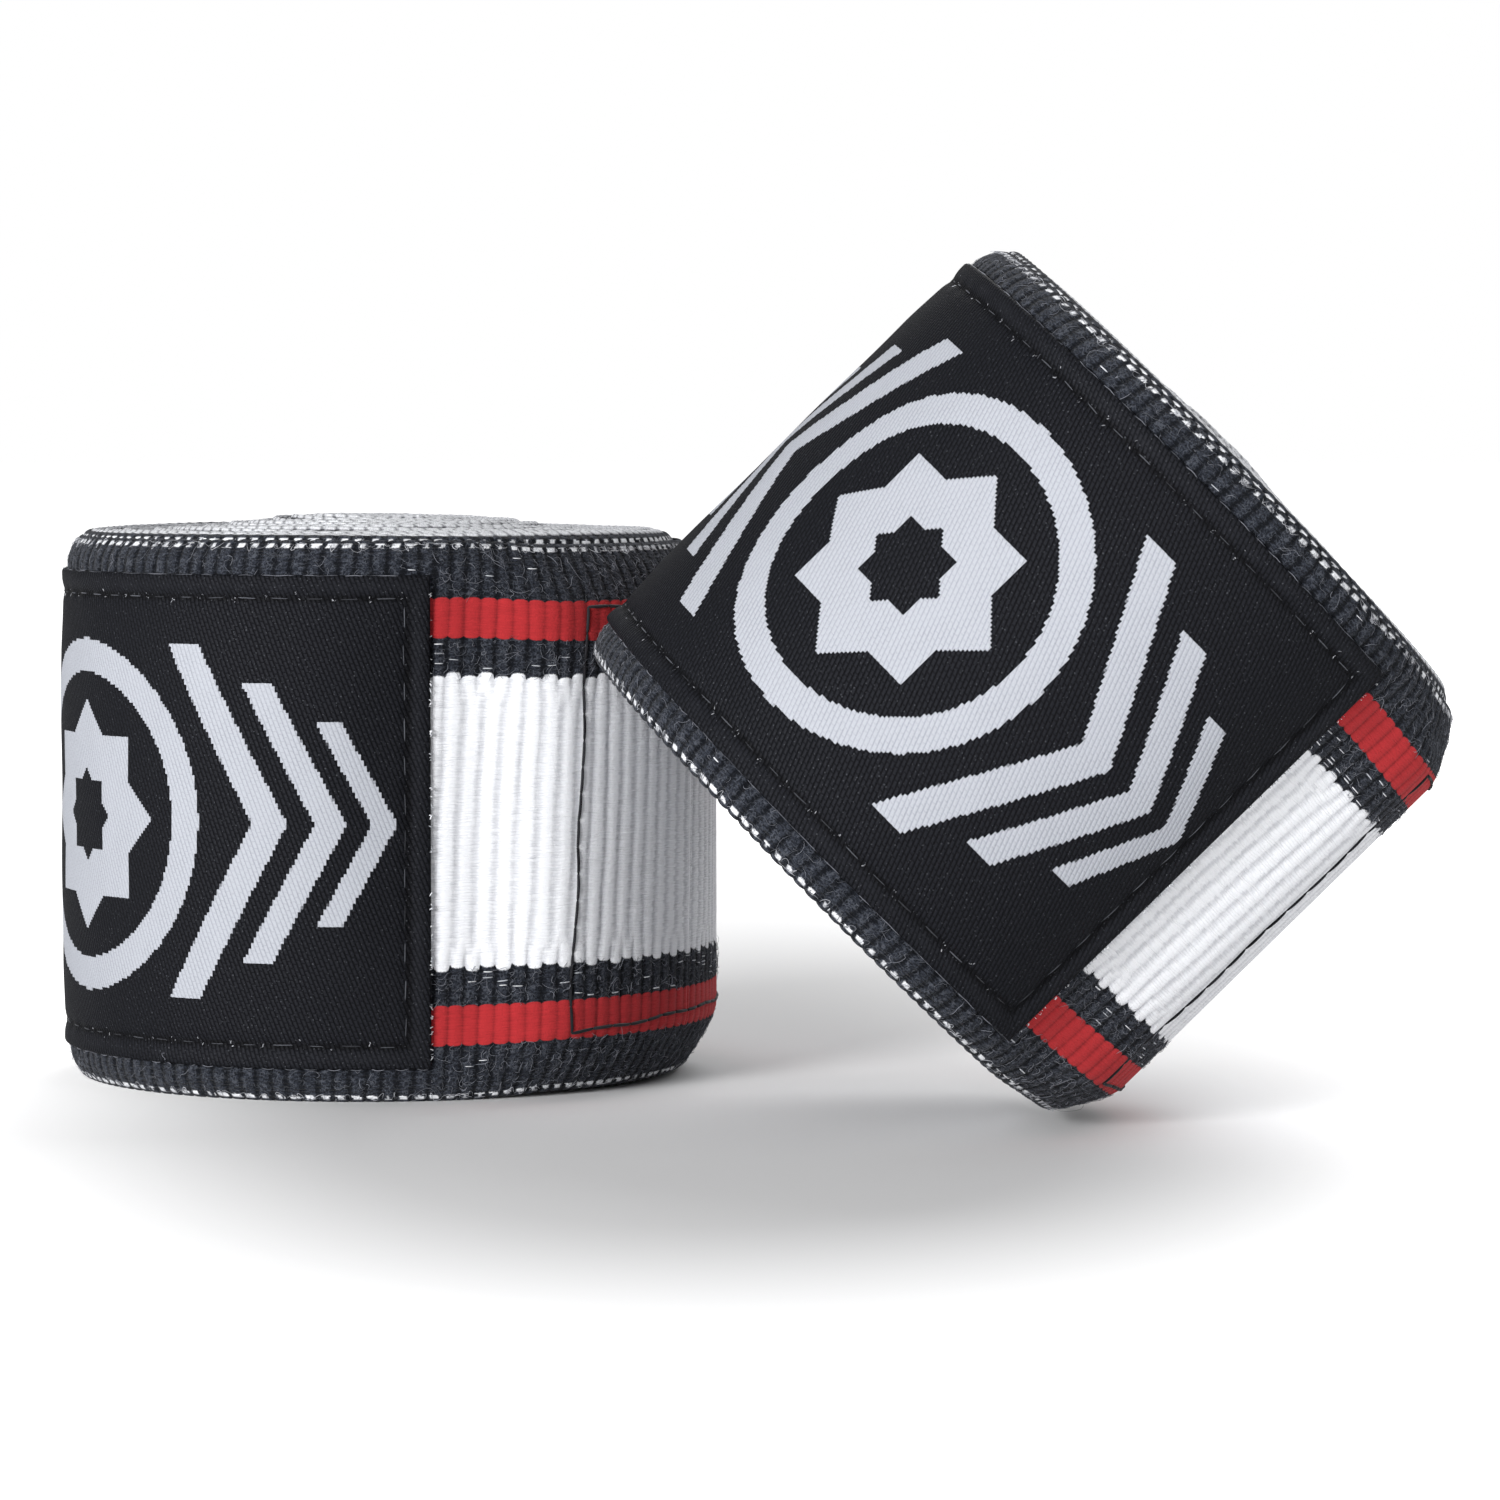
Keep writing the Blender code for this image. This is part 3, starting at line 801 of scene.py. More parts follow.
# %% A point on the label
LABEL_PROUD = 0.62 * MM          # middle of the label over the band's crowns
LABEL_EDGE = 0.40 * MM
LABEL_UNDER = 0.06 * MM
LABEL_GRID = (180, 104)          # lines of its mesh along and up, without those at the ends
SEAM_SPREAD, SWELL = 0.55, 6     # mm, how wide the seam draws in, and over what it swells up
PUCKER, PUCKER_WAVE = 0.22, 0.07 # mm, depth of the seam, and how it varies with each stitch
HALF_LENGTH, HALF_HEIGHT = LABEL_LENGTH / MM / 2, LABEL_HEIGHT / MM / 2
label_turned = turned_to(LABEL_END)
label_radius = float(wound_radius(label_turned)) + BAND_THICKNESS / 2
print("the label goes", round(float(np.degrees(LABEL_LENGTH / label_radius))), "degrees round the roll")


def on_label(x, y, out):
    """Point on the label: x to the right and y up from its middle, out from the crowns."""
    x, y, out = np.broadcast_arrays(x, y, out)
    turned = label_turned - np.degrees((LABEL_LENGTH / 2 - x) / (label_radius + LABEL_PROUD))
    radius = wound_radius(turned) + BAND_THICKNESS / 2 + out
    return on_roll(turned, radius, MIDDLE + y)


def label_out(x, y):
    """Outer face of the label: full in the middle, drawn in at the seam."""
    inward = np.minimum(LABEL_LENGTH / 2 - np.abs(x), LABEL_HEIGHT / 2 - np.abs(y)) / MM
    seam = np.exp(-((inward - LABEL_SEAM) / SEAM_SPREAD) ** 2)
    puff = LABEL_EDGE + (LABEL_PROUD - LABEL_EDGE) * ease((inward - LABEL_SEAM) / SWELL)
    waves = 0.04 * MM * (np.sin(x / MM * 0.5) + np.sin(y / MM * 0.43 + x / MM * 0.21))
    roll = 0.10 * MM * ease((LABEL_SEAM - inward) / 1.5)
    rounding = np.sqrt(1 - (1 - np.clip(inward / 0.3, 0, 1)) ** 2)
    along = np.where(LABEL_LENGTH / 2 - np.abs(x) < LABEL_HEIGHT / 2 - np.abs(y), y, x) / MM
    pucker = (PUCKER + PUCKER_WAVE * np.cos(along * 2 * pi / LABEL_STITCH)) * MM * seam
    return LABEL_UNDER + (puff - LABEL_UNDER + waves * ease(inward / 4) + roll - pucker) * rounding


# %% Mesh of the label
def label_lines(length, count):
    """Places of the grid's lines along a side, closest at its ends."""
    near = np.array([0.0, 0.05, 0.15, 0.3])
    return np.concatenate([near, np.linspace(0.6, length / MM - 0.6, count), length / MM - near[::-1]]) * MM


def label_piece(name):
    xs = label_lines(LABEL_LENGTH, LABEL_GRID[0]) - LABEL_LENGTH / 2
    ys = label_lines(LABEL_HEIGHT, LABEL_GRID[1]) - LABEL_HEIGHT / 2
    ring_y = np.concatenate([ys, ys[::-12]])
    x, y = np.meshgrid(xs, ring_y, indexing="ij")
    out = np.where(np.arange(len(ring_y)) < len(ys), label_out(x, y), 0.0)
    piece = new_piece(name, on_label(x, y, out), ring_faces(len(xs), len(ring_y)), WOVEN_LABEL)
    give(piece, label_x=x / MM, label_y=y / MM)
    return piece


# %% Seams as rows of stitches
def stitch_line(start, end, length, gap):
    """Ends of the stitches along a line, in millimetres."""
    start, end = np.array(start), np.array(end)
    count = round(float(np.linalg.norm(end - start)) / length)
    at = np.arange(count)
    share = np.stack([(at + gap / 2) / count, (at + 1 - gap / 2) / count], 1)
    return start + share[:, :, None] * (end - start)


def sewn(pairs, surface, steps, proud, dive):
    """Paths of stitches that come out of the cloth, lie on it and dive in again."""
    t = np.linspace(0, 1, steps)
    arch = np.sin(pi * t) ** 0.6 * (proud + dive) - dive
    spots = pairs[:, None, 0] + (pairs[:, None, 1] - pairs[:, None, 0]) * t[:, None]
    return surface(spots[..., 0] * MM, spots[..., 1] * MM, arch * MM)


# %% The label's seam
def label_seam():
    """The four rows of stitches, as pairs of points on the label in millimetres."""
    x, y = HALF_LENGTH - LABEL_SEAM - 0.3, HALF_HEIGHT - LABEL_SEAM
    corners = [(-x, -y), (x, -y), (x, y), (-x, y)]
    sides = zip(corners, corners[1:] + corners[:1])
    return np.concatenate([stitch_line(a, b, LABEL_STITCH, LABEL_GAP) for a, b in sides])


def label_stitches(name, rng):
    def over(x, y, out):
        return on_label(x, y, label_out(x, y) + out)
    seam = label_seam()
    count = len(seam)
    strayed = seam + rng.normal(0, 0.05, seam.shape)
    seam = strayed + (seam[:, ::-1] - seam) * rng.uniform(-0.02, 0.10, (count, 1, 1))
    thick = rng.uniform(0.035, 0.065, count) * MM
    return sweep(name, sewn(seam, over, 9, 0.015, 0.14), thick, 5, GREY_THREAD)


def label_flecks(name, rng):
    """Bits of the white ground that the needle pulled up through the label."""
    holes = label_seam()[:, 1]
    holes = holes + rng.normal(0, 0.08, holes.shape)
    holes = holes[(rng.random(len(holes)) < 0.8) & (np.abs(holes[:, 1]) > 19)]
    spots = np.repeat(holes, 3, 0) + rng.normal(0, (0.16, 0.28), (3 * len(holes), 2))
    lean = rng.normal(0, 0.12, (len(spots), 2))
    at = (spots[:, None] + lean[:, None] * np.linspace(-0.5, 0.5, 4)[:, None]) * MM
    paths = on_label(at[..., 0], at[..., 1], label_out(at[..., 0], at[..., 1]) + 0.03 * MM)
    return sweep(name, paths, rng.uniform(0.018, 0.050, len(spots)) * MM, 4, FLECKS, ends=0.5)


# %% Pale threads at the label's edges
def label_edge_line(name, rng):
    """A fine pale thread that shows along the folded edges of the label."""
    steps = np.linspace(-HALF_LENGTH + 0.4, HALF_LENGTH - 0.4, 241)
    paths = []
    for side in (-1, 1):
        y = side * (HALF_HEIGHT - 0.06) + np.cumsum(rng.normal(0, 0.02, 241)) * np.sin(steps * 3.1) * 0.3
        out = LABEL_EDGE * 0.75 + 0.05 * MM * np.sin(steps * 1.9 + rng.uniform(0, 6))
        path = on_label(steps * MM, y * MM, out)
        paths += [path[k:k + 9] for k in range(0, 240, 8) if rng.random() < 0.85]
    return sweep(name, paths, 0.028 * MM, 4, LINT, ends=1.0)


def label_teeth(name, rng, count=150):
    """White tufts that poke up round the label's two upright edges."""
    each = (count, 1)
    side = np.where(rng.random(each) < 0.5, -1, 1)
    y = rng.uniform(-21.5, 21.5, each)
    reach = rng.uniform(0.03, 0.26, each)
    t = np.linspace(0, 1, 5)
    x = side * (HALF_LENGTH + 0.16 - (0.16 + reach) * t)
    rise = y + rng.normal(0, 0.15, each) * t ** 2
    out = 0.02 + (0.46 + rng.uniform(0.0, 0.12, each)) * np.sin(pi / 2 * np.minimum(1.6 * t, 1))
    coarse, fine = rng.uniform(0.03, 0.075, count), rng.uniform(0.015, 0.03, count)
    thick = np.where(np.abs(y[:, 0]) < WHITE_HALF / MM - 0.2, coarse, fine)
    return sweep(name, on_label(x * MM, rise * MM, out * MM), thick * MM, 4, FLOATS)


# %% Put a label on each roll
LABEL_TRIMS = {"stitches": label_stitches, "flecks": label_flecks,
               "edge_line": label_edge_line, "edge_threads": label_teeth}
for prefix, seed in zip(PLACES, (11, 12)):
    rng = np.random.default_rng(seed)
    label = put_on(prefix, label_piece(f"{prefix}_woven_label"))
    trims = [put_on(prefix, make(f"{prefix}_label_{kind}", rng)) for kind, make in LABEL_TRIMS.items()]
    declare(label, f"{prefix}_label")
    report(f"{prefix} label", label, *trims)

# %% [markdown]
# ## Hook and loop
# The loop patch is sewn to the turn that lies under the closure, and the hook patch behind the
# band's end. Both are 40 mm high. When the end is peeled back, the loops show as brushed black
# pile and the hooks as rows of little nylon crooks. Particle hair could stand for both, but it
# has no body outside the render, so plates carry threads made with the same sweep as stitches.

# %% Finish of the two patches
def patch_finish(name, dark, light, roughness, pitch):
    f = Finish(name, Roughness=roughness, Specular_IOR_Level=0.3, Sheen_Weight=0.3)
    x, y = f.number("along_mm"), f.number("up_mm")
    grain = f.noise(f.vector(x, y), 5.0, 3.0, 0.7)
    rows = abs((x / pitch).fract() * 2 - 1) * 0.5 + abs((y / pitch).fract() * 2 - 1) * 0.5
    color = f.mix((grain * 0.7 + rows * 0.5).rise(0.3, 1.0), dark, light)
    return f.shade(color, roughness - 0.1 + grain * 0.2, rows * 0.1 + grain * 0.12)


PILE = patch_finish("loop_pile", (0.006, 0.006, 0.008), (0.026, 0.027, 0.032), 0.9, 0.7)
HOOK_TAPE = patch_finish("hook_tape", (0.008, 0.008, 0.009), (0.030, 0.031, 0.034), 0.45, 1.5)
PILE_LOOPS = thread_finish("pile_loops", (0.008, 0.008, 0.010), (0.040, 0.042, 0.050))
NYLON = thread_finish("nylon_hooks", (0.010, 0.010, 0.011), (0.034, 0.035, 0.038), 0.35)

# %% Plates of the patches
PATCH_HEIGHT = 40 * MM
LOOP_TOP = SEAT_GAP + LOOP_PATCH
HOOK_FACE = LOOP_TOP + SEAT_GAP
DEGREE = radians(1) * float(seat_radius(WOUND + 70))    # arc of one degree on the seat
print("the patches are", round((PATCH_END - PATCH_START) * DEGREE / MM), "mm long")


def on_patch(angle, y, out):
    turned = turned_to(angle)
    return on_roll(turned, seat_radius(turned) + out, MIDDLE + y)


def patch_plate(name, first, last, lift, thickness, finish, step=1.5):
    """Plate bent round the seat of the closure, between two angles, with rounded edges."""
    angles = np.linspace(first, last, int(np.ceil((last - first) / step)) + 1)[:, None]
    half, edge = PATCH_HEIGHT / 2, thickness / 2
    turns = np.linspace(-pi / 2, pi / 2, 7)
    high = [(half - edge + edge * cos(t), lift + edge - edge * sin(t)) for t in turns]
    across = np.linspace(-0.9, 0.9, 9) * half
    ring = [(y, lift + thickness) for y in across] + high
    ring += [(-y, lift) for y in across] + [(-y, out) for y, out in high][::-1]
    y, out = np.array(ring).T
    piece = new_piece(name, on_patch(angles, y, out), ring_faces(len(angles), len(y)), finish)
    give(piece, len(angles), len(y), along_mm=length_at(turned_to(angles)) / MM, up_mm=y / MM)
    return piece


# %% Loops and hooks
YARN_RADIUS, CROOK_RADIUS = 0.035 * MM, 0.06 * MM
CROOK_ROWS, CROOK_PITCH = 26, 1.45 * MM
CROOK_HEIGHT, CROOK_REACH, CROOK_BACK = 0.42 * MM, 0.22 * MM, 0.16 * MM


def pile_loops(name, rng, count=2200):
    """Small arches of yarn standing on the loop patch."""
    each = (count, 1)
    angle = rng.uniform(PATCH_START + 0.8, PATCH_END - 0.8, each)
    y = rng.uniform(-0.485, 0.485, each) * PATCH_HEIGHT
    t = np.linspace(0, 1, 7)
    heading = rng.uniform(0, 2 * pi, each)
    span = rng.uniform(0.5, 1.3, each) * MM
    along = span * (t - 0.5)
    bow = rng.uniform(-0.3, 0.3, each) * span * np.sin(pi * t)
    height = rng.uniform(0.12, 0.34, each) * MM * np.sin(pi * t)
    paths = on_patch(angle + (along * np.cos(heading) - bow * np.sin(heading)) / DEGREE,
                     y + along * np.sin(heading) + bow * np.cos(heading), LOOP_TOP - 0.02 * MM + height)
    return sweep(name, paths, YARN_RADIUS, 3, PILE_LOOPS)


def hooks(name, first, last, rng):
    """Crooks in rows on the inner face of the hook tape."""
    angles = np.arange(first + 0.9, last - 0.6, CROOK_PITCH / DEGREE)
    heights = np.linspace(-0.47, 0.47, CROOK_ROWS) * PATCH_HEIGHT
    angle, y = (g.ravel()[:, None] for g in np.meshgrid(angles, heights, indexing="ij"))
    t = np.linspace(0, 1, 6)
    lean = rng.choice([-1.0, 1.0], angle.shape) * CROOK_REACH
    drop = CROOK_HEIGHT * np.sin(np.minimum(t * 1.35, 1.0) * pi / 2) - CROOK_BACK * ease((t - 0.62) / 0.38)
    side = lean * (np.clip(t - 0.35, 0, 1) / 0.65) ** 1.3 * 1.6
    paths = on_patch(angle + side / DEGREE, y + 0.0 * t, HOOK_FACE + 0.03 * MM - drop)
    return sweep(name, paths, CROOK_RADIUS, 4, NYLON)


# %% Put the patches on each roll
def middle_of(k):
    """Angle at which link k begins, at the middle of the width."""
    turned = float(turned_of(float(LINK_ENDS[k]), MIDDLE))
    return turned - WOUND + CLOSURE_START


HOOK_BOUNDS = [PATCH_START] + [middle_of(k) for k in range(3)] + [PATCH_END]
for prefix, seed in zip(PLACES, (21, 22)):
    rng = np.random.default_rng(seed)
    patch = patch_plate(f"{prefix}_pile_patch", PATCH_START, PATCH_END, SEAT_GAP, LOOP_PATCH, PILE)
    loops = put_on(prefix, pile_loops(f"{prefix}_pile_loops", rng))
    flat = (PATCH_HEIGHT, (PATCH_END - PATCH_START) * DEGREE)
    declare(put_on(prefix, patch), f"{prefix}_loop_patch")
    for k, (first, last) in enumerate(zip(HOOK_BOUNDS, HOOK_BOUNDS[1:])):
        tape = patch_plate(f"{prefix}_hook_tape_{k}", first, last, HOOK_FACE, HOOK_PATCH, HOOK_TAPE)
        crooks = put_on(prefix, hooks(f"{prefix}_hooks_{k}", first, last, rng), k)
        node = f"{prefix}_end_hook_{k}" if k else f"{prefix}_hook_patch"
        flat = (PATCH_HEIGHT, (last - first) * DEGREE)
        declare(put_on(prefix, tape, k), node)
    report(f"{prefix} loop patch", patch, loops)

# %% [markdown]
# ## The thumb loop
# The band starts at a loop of narrow tape that goes over the thumb. Rolled up, it lies folded
# flat and coiled in the core, a good way down from the rim. A bevelled curve would do for its
# shape, but a grid of rings also gives the finish the length along the tape.

# %% Finish of the tape
def tape_finish():
    f = Finish("loop_tape", Specular_IOR_Level=0.25, Sheen_Weight=0.25)
    x, y = f.number("along_mm"), f.number("up_mm")
    weave = abs((x / 0.7 + (y / 0.5).floor() * 0.5).fract() * 2 - 1)
    grain = f.noise(f.vector(x, y), 6.0, 3.0, 0.7)
    color = f.mix((weave * 0.5 + grain * 0.7).rise(0.3, 1.1), (0.010, 0.010, 0.013), (0.05, 0.052, 0.06))
    return f.shade(color, 0.75 + grain * 0.2, weave * 0.06 + grain * 0.04)


LOOP_TAPE = tape_finish()

# %% Path of the coiled tape
TAPE_WIDTH = 20 * MM
TAPE_THICKNESS = 0.4 * MM
TAPE_GAP = 0.16 * MM
TAPE_INNER = 0.9 * MM
LEG = TAPE_THICKNESS + TAPE_GAP  # from one leg of the folded loop to the other
COIL = 360 * (CORE_RADIUS - SEAT_GAP - TAPE_THICKNESS / 2 - LEG - TAPE_INNER) / (2 * LEG)
print("the folded tape goes round", round(COIL / 360, 1), "times")


def on_leg(turned, out):
    return on_roll(turned, TAPE_INNER + 2 * LEG * turned / 360 + out, 0.0)


def fold(at, sign):
    """The half round in which one leg goes over into the other."""
    near, far = on_leg(at, 0.0), on_leg(at, LEG)
    a = radians(CLOSURE_START + at)
    centre, arm = (near + far) / 2, (far - near) / 2
    forward = np.array((cos(a), sin(a), 0)) * LEG / 2
    turns = [sign * pi * k / 6 for k in range(1, 6)]
    return np.array([centre + sign * arm * cos(t) + forward * sin(t) for t in turns])


# %% Coil the thumb loop
def thumb_loop(name):
    """Flat tape in a closed loop, its two legs coiled together."""
    turned = np.linspace(0, COIL, 90)
    path = np.concatenate([on_leg(turned, LEG), fold(COIL, 1), on_leg(turned, 0.0)[::-1], fold(0.0, -1)])
    along = np.roll(path, -1, 0) - np.roll(path, 1, 0)
    side = np.cross(along / np.linalg.norm(along, axis=1, keepdims=True), (0, 0, 1))
    low = CORE_RISE + (BAND_WIDTH - TAPE_WIDTH) / 2
    half = TAPE_THICKNESS / 2
    turns = np.linspace(0, pi, 5)
    ring = [(half * cos(t), TAPE_WIDTH - half + half * sin(t)) for t in turns]
    ring = np.array(ring + [(-half * cos(t), half - half * sin(t)) for t in turns])
    up = np.array((0, 0, 1.0)) * (low + ring[None, :, 1:])
    points = path[:, None] + side[:, None] * ring[None, :, :1] + up
    piece = new_piece(name, points, ring_faces(len(path), len(ring), closed=True), LOOP_TAPE)
    lengths = np.cumsum(np.linalg.norm(along, axis=1) / 2) / MM
    give(piece, len(path), len(ring), along_mm=lengths[:, None], up_mm=ring[:, 1] / MM)
    return piece, float(lengths[-1]) * MM


for prefix in PLACES:
    loop, loop_length = thumb_loop(f"{prefix}_thumb_tape")
    declare(put_on(prefix, loop), f"{prefix}_thumb_loop")
print("the thumb loop's tape is", round(loop_length / MM), "mm round")

# %% [markdown]
# ## Seams of the closure
# One seam of black thread runs round the hook patch and comes through to the face of the band
# as a tall box. Another holds the hem at the tip. The upright side of the box follows a groove.
# Dashes could be painted on the band, but real threads catch the light and dent its outline.

# %% Where the seams run
BOX_RIB = nearest_rib(39.4)
BOX_LOW, BOX_HIGH = 5.6, 44.5    # mm up the band, at the upright side
BOX_SLIP = 0.9                   # the long sides run in by this much, and then level
BOX_END_RIB = nearest_rib(PATCH_END - 2)
HEM_RIB = nearest_rib(BAND_END - 8)
HEM_MARGIN = 1.5                 # mm
SEAM_STITCH, SEAM_GAP = 2.5, 0.01    # mm, and the gap's share of a stitch
SEAM_THREAD = 0.15 * MM
SEAM_BOUNDS = [BOX_RIB] + LINK_ENDS[:3] + [BOX_END_RIB]


def over_band(along, up, out):
    """Point over the band's face; along is in metres of rib, up in metres of height."""
    rib = along / RIB_PITCH
    return on_band(rib, up, BAND_THICKNESS / 2 + rib_relief(rib, up) + out)


def closure_seams(k):
    """Stitches on stretch k of the closure, as pairs of points in millimetres."""
    first, last = SEAM_BOUNDS[k:k + 2]
    slip = BOX_SLIP if k else 0.0
    lines = [(first, last, BOX_HIGH - slip, BOX_HIGH - BOX_SLIP),
             (first, last, BOX_LOW + slip, BOX_LOW + BOX_SLIP)]
    if k == 0:
        lines += [(BOX_RIB, BOX_RIB, BOX_LOW, BOX_HIGH)]
    if k == 3:
        lines += [(BOX_END_RIB, BOX_END_RIB, BOX_LOW + slip, BOX_HIGH - slip),
                  (HEM_RIB, HEM_RIB, HEM_MARGIN, BAND_WIDTH / MM - HEM_MARGIN)]
    scale = RIB_PITCH / MM
    seams = np.concatenate([stitch_line((a * scale, low), (b * scale, high), SEAM_STITCH, SEAM_GAP)
                            for a, b, low, high in lines])
    x, y = seams[..., 0], seams[..., 1]
    return np.stack([x + 0.15 * np.sin(0.45 * y), y + 0.12 * np.sin(0.7 * x)], -1)


print("stitches on each stretch:", [len(closure_seams(k)) for k in range(4)])


# %% Sew the closures
for prefix in PLACES:
    seams = []
    for k in range(4):
        paths = sewn(closure_seams(k), over_band, 9, 0.05, 0.05)
        seams.append(sweep(f"{prefix}_closure_seam_{k}", paths, SEAM_THREAD, 6, BLACK_THREAD, ends=0.8))
        put_on(prefix, seams[k], k)
    report(f"{prefix} closure seams", *seams)

# %% [markdown]
# ## Lint and floats
# The charcoal stripes are what makes the band look woven rather than printed: white weft
# floats over one rib and then dives, and pale lint clings everywhere. Hair particles could
# grow them, but they are not in an exported model. Here they are short swept threads scattered
# with a fixed seed, and each stretch of band carries its own.

# %% Weft floats
CHARCOAL = [(0.8, 5.0), (8.65, 12.0), (38.0, 41.35), (45.0, 49.2)]   # mm up the band
FLOAT_CHANCE = (0.02, 0.26, 0.26, 0.02)


def weft_floats(first, last, rng):
    """Paths of white floats over single ribs, in rows up the charcoal stripes."""
    rows = [np.arange(low + 0.25, high - 0.1, FLOAT_PITCH) for low, high in CHARCOAL]
    chance = np.repeat(FLOAT_CHANCE, [len(r) for r in rows])
    rows = np.concatenate(rows)
    rib, row = np.meshgrid(np.arange(int(first), int(last)), np.arange(len(rows)), indexing="ij")
    patchy = 0.6 + 0.8 * np.sin(rib * 0.7 + row * 0.5) * np.sin(rib * 0.31 + 1.0)
    keep = rng.random(rib.shape) < chance[row] * patchy * np.where((rib + row) % 2, 0.35, 1.3)
    rib, up = rib[keep].astype(float), rows[row[keep]]
    count = len(rib)
    up = up + rng.normal(0, 0.05, count)
    start, end = rib + rng.uniform(0.06, 0.22, count), rib + rng.uniform(0.72, 0.96, count)
    pairs = np.stack([np.stack([start * RIB_PITCH / MM, up], 1),
                      np.stack([end * RIB_PITCH / MM, up + rng.normal(0, 0.04, count)], 1)], 1)
    return sewn(pairs, over_band, 6, 0.035, 0.05), rng.uniform(0.035, 0.06, count) * MM


# %% Lint
LABEL_LAST = float(rib_of(label_turned))
LABEL_FIRST = LABEL_LAST - LABEL_LENGTH / RIB_PITCH
HAIRS_PER_RIB = 36
CLEAN_SHARE = 0.72               # of the hairs, left out above and below the label


def charcoal_heights(rng, count):
    lows, highs = np.array(CHARCOAL).T
    spans = highs - lows
    picks = rng.choice(len(CHARCOAL), count, p=spans / spans.sum())
    return lows[picks] + rng.random(count) * spans[picks]


def within(first, last, rib):
    """Keeps a path on its own stretch of band."""
    return np.clip(rib, first + 0.02, last - 0.02)


def lint(first, last, rng):
    """Paths of curly hairs that lie on the band and stand a little off it."""
    rib = rng.uniform(first + 0.2, last - 0.2, int((last - first) * HAIRS_PER_RIB))
    beside_label = (rib > LABEL_FIRST) & (rib < LABEL_LAST)
    rib = rib[rng.random(len(rib)) > CLEAN_SHARE * beside_label]
    count, steps = len(rib), 7
    each = (count, 1)
    up = charcoal_heights(rng, count)
    t = np.linspace(0, 1, steps)
    length = rng.gamma(3.0, 0.28, each) + 0.3
    heading = rng.uniform(0, 2 * pi, each) + rng.normal(0, 1.6, each) * t
    bend, phase = rng.normal(0, 0.9, each), rng.uniform(0, 6, each)
    heading = heading + bend * np.sin(2 * pi * t + phase)
    step = length / (steps - 1)
    x = np.cumsum(np.cos(heading) * step, 1)
    y = np.cumsum(np.sin(heading) * step, 1)
    rib_path = within(first, last, rib[:, None] + (x - x.mean(1, keepdims=True)) * MM / RIB_PITCH)
    up_path = np.clip(up[:, None] + y - y.mean(1, keepdims=True), 0.4, BAND_WIDTH / MM - 0.4)
    stand = rng.gamma(2.0, 0.05, each) * np.sin(pi * t) ** 0.7 + 0.02
    paths = over_band(rib_path * RIB_PITCH, up_path * MM, stand * MM)
    return paths, rng.uniform(0.012, 0.024, count) * MM


# %% Fuzz along the selvedges
FUZZ_PER_RIB = 5


def rim_fuzz(first, last, rng):
    """Paths of pale hairs that stand up round both selvedges of the outer turn."""
    count = int((last - first) * FUZZ_PER_RIB)
    each = (count, 1)
    rib = rng.uniform(first + 0.5, last - 0.5, each)
    top = rng.random(each) < 0.6
    t = np.linspace(0, 1, 7)
    reach, climb = rng.normal(0, 0.55, each), rng.uniform(-0.7, 0.16, each)
    curl = rng.uniform(0, 6, each)
    rib_path = within(first, last, rib + reach * (t - 0.5) + 0.12 * np.sin(5 * t + curl))
    inward = 0.25 - climb * (1 - (2 * t - 1) ** 2) + 0.08 * np.sin(4 * t + curl)
    up = np.where(top, BAND_WIDTH / MM - inward, inward)
    stand = 0.02 + rng.gamma(2.0, 0.05, each) * np.sin(pi * t)
    return over_band(rib_path * RIB_PITCH, up * MM, stand * MM), rng.uniform(0.016, 0.034, count) * MM


# %% Scatter them on every stretch
BOUNDS = [nearest_rib(BAND_END - 366)] + LINK_ENDS       # nothing before these ribs shows
SCATTER = {"weft_floats": (weft_floats, 4, FLOATS), "lint": (lint, 3, LINT),
           "rim_fuzz": (rim_fuzz, 3, FLECKS)}
for prefix, seed in zip(PLACES, (31, 32)):
    rng = np.random.default_rng(seed)
    pieces = []
    for k, (first, last) in enumerate(zip(BOUNDS, BOUNDS[1:])):
        for kind, (paths_of, sides, finish) in SCATTER.items():
            pieces.append(sweep(f"{prefix}_{kind}_{k}", *paths_of(first, last, rng), sides, finish))
            put_on(prefix, pieces[-1], k)
    report(f"{prefix} floats and lint", *pieces)

# %% [markdown]
# ## The floor
# The rolls stand on a white sweep of paper that shows only as their shadow. A shadow catcher
# could give that, but it leaves the ground transparent. Here the floor is a real grey plane,
# and it glows more and more with the distance from the rolls, so that it fades into the white
# behind. Only the camera sees the glow: it lights nothing. The grey oval that is left round the
# rolls is a painted shadow, over the shadows that the lamps really cast.

# %% Lay the floor
WHITE, FLOOR_GREY = (1, 1, 1, 1), (0.70, 0.70, 0.705, 1)
FLOOR_SIZE = 12.0
FADE_FRONT = ((1.9, 0.9, 1.0), (0.004, 0.0225, 0.0))     # scale and shift of each half of the oval
FADE_BACK = ((1.9, 0.3, 1.0), (0.004, 0.040, 0.0))
FADE_FROM, FADE_TO = 0.058, 0.18


def floor_finish():
    f = Finish("floor", Roughness=0.9, Specular_IOR_Level=0.0, Base_Color=FLOOR_GREY, Emission_Color=WHITE)

    def vectors(operation, *values, output="Vector"):
        return f.add("ShaderNodeVectorMath", {"operation": operation}, values, output)

    place = f.add("ShaderNodeTexCoord", output="Object")
    front, back = (vectors('MULTIPLY_ADD', place, *half) for half in (FADE_FRONT, FADE_BACK))
    away = vectors('LENGTH', vectors('MINIMUM', front, back), output="Value")
    # Painted shadow: the glow is weakest near the rolls, so the grey floor shows there as shade.
    fade = away.rise(FADE_FROM, FADE_TO) ** 0.75 * 0.9
    glow = f.add("ShaderNodeLightPath", output="Is Camera Ray") * fade
    f.feed(f.shader, {"Emission Strength": glow})
    return f.material


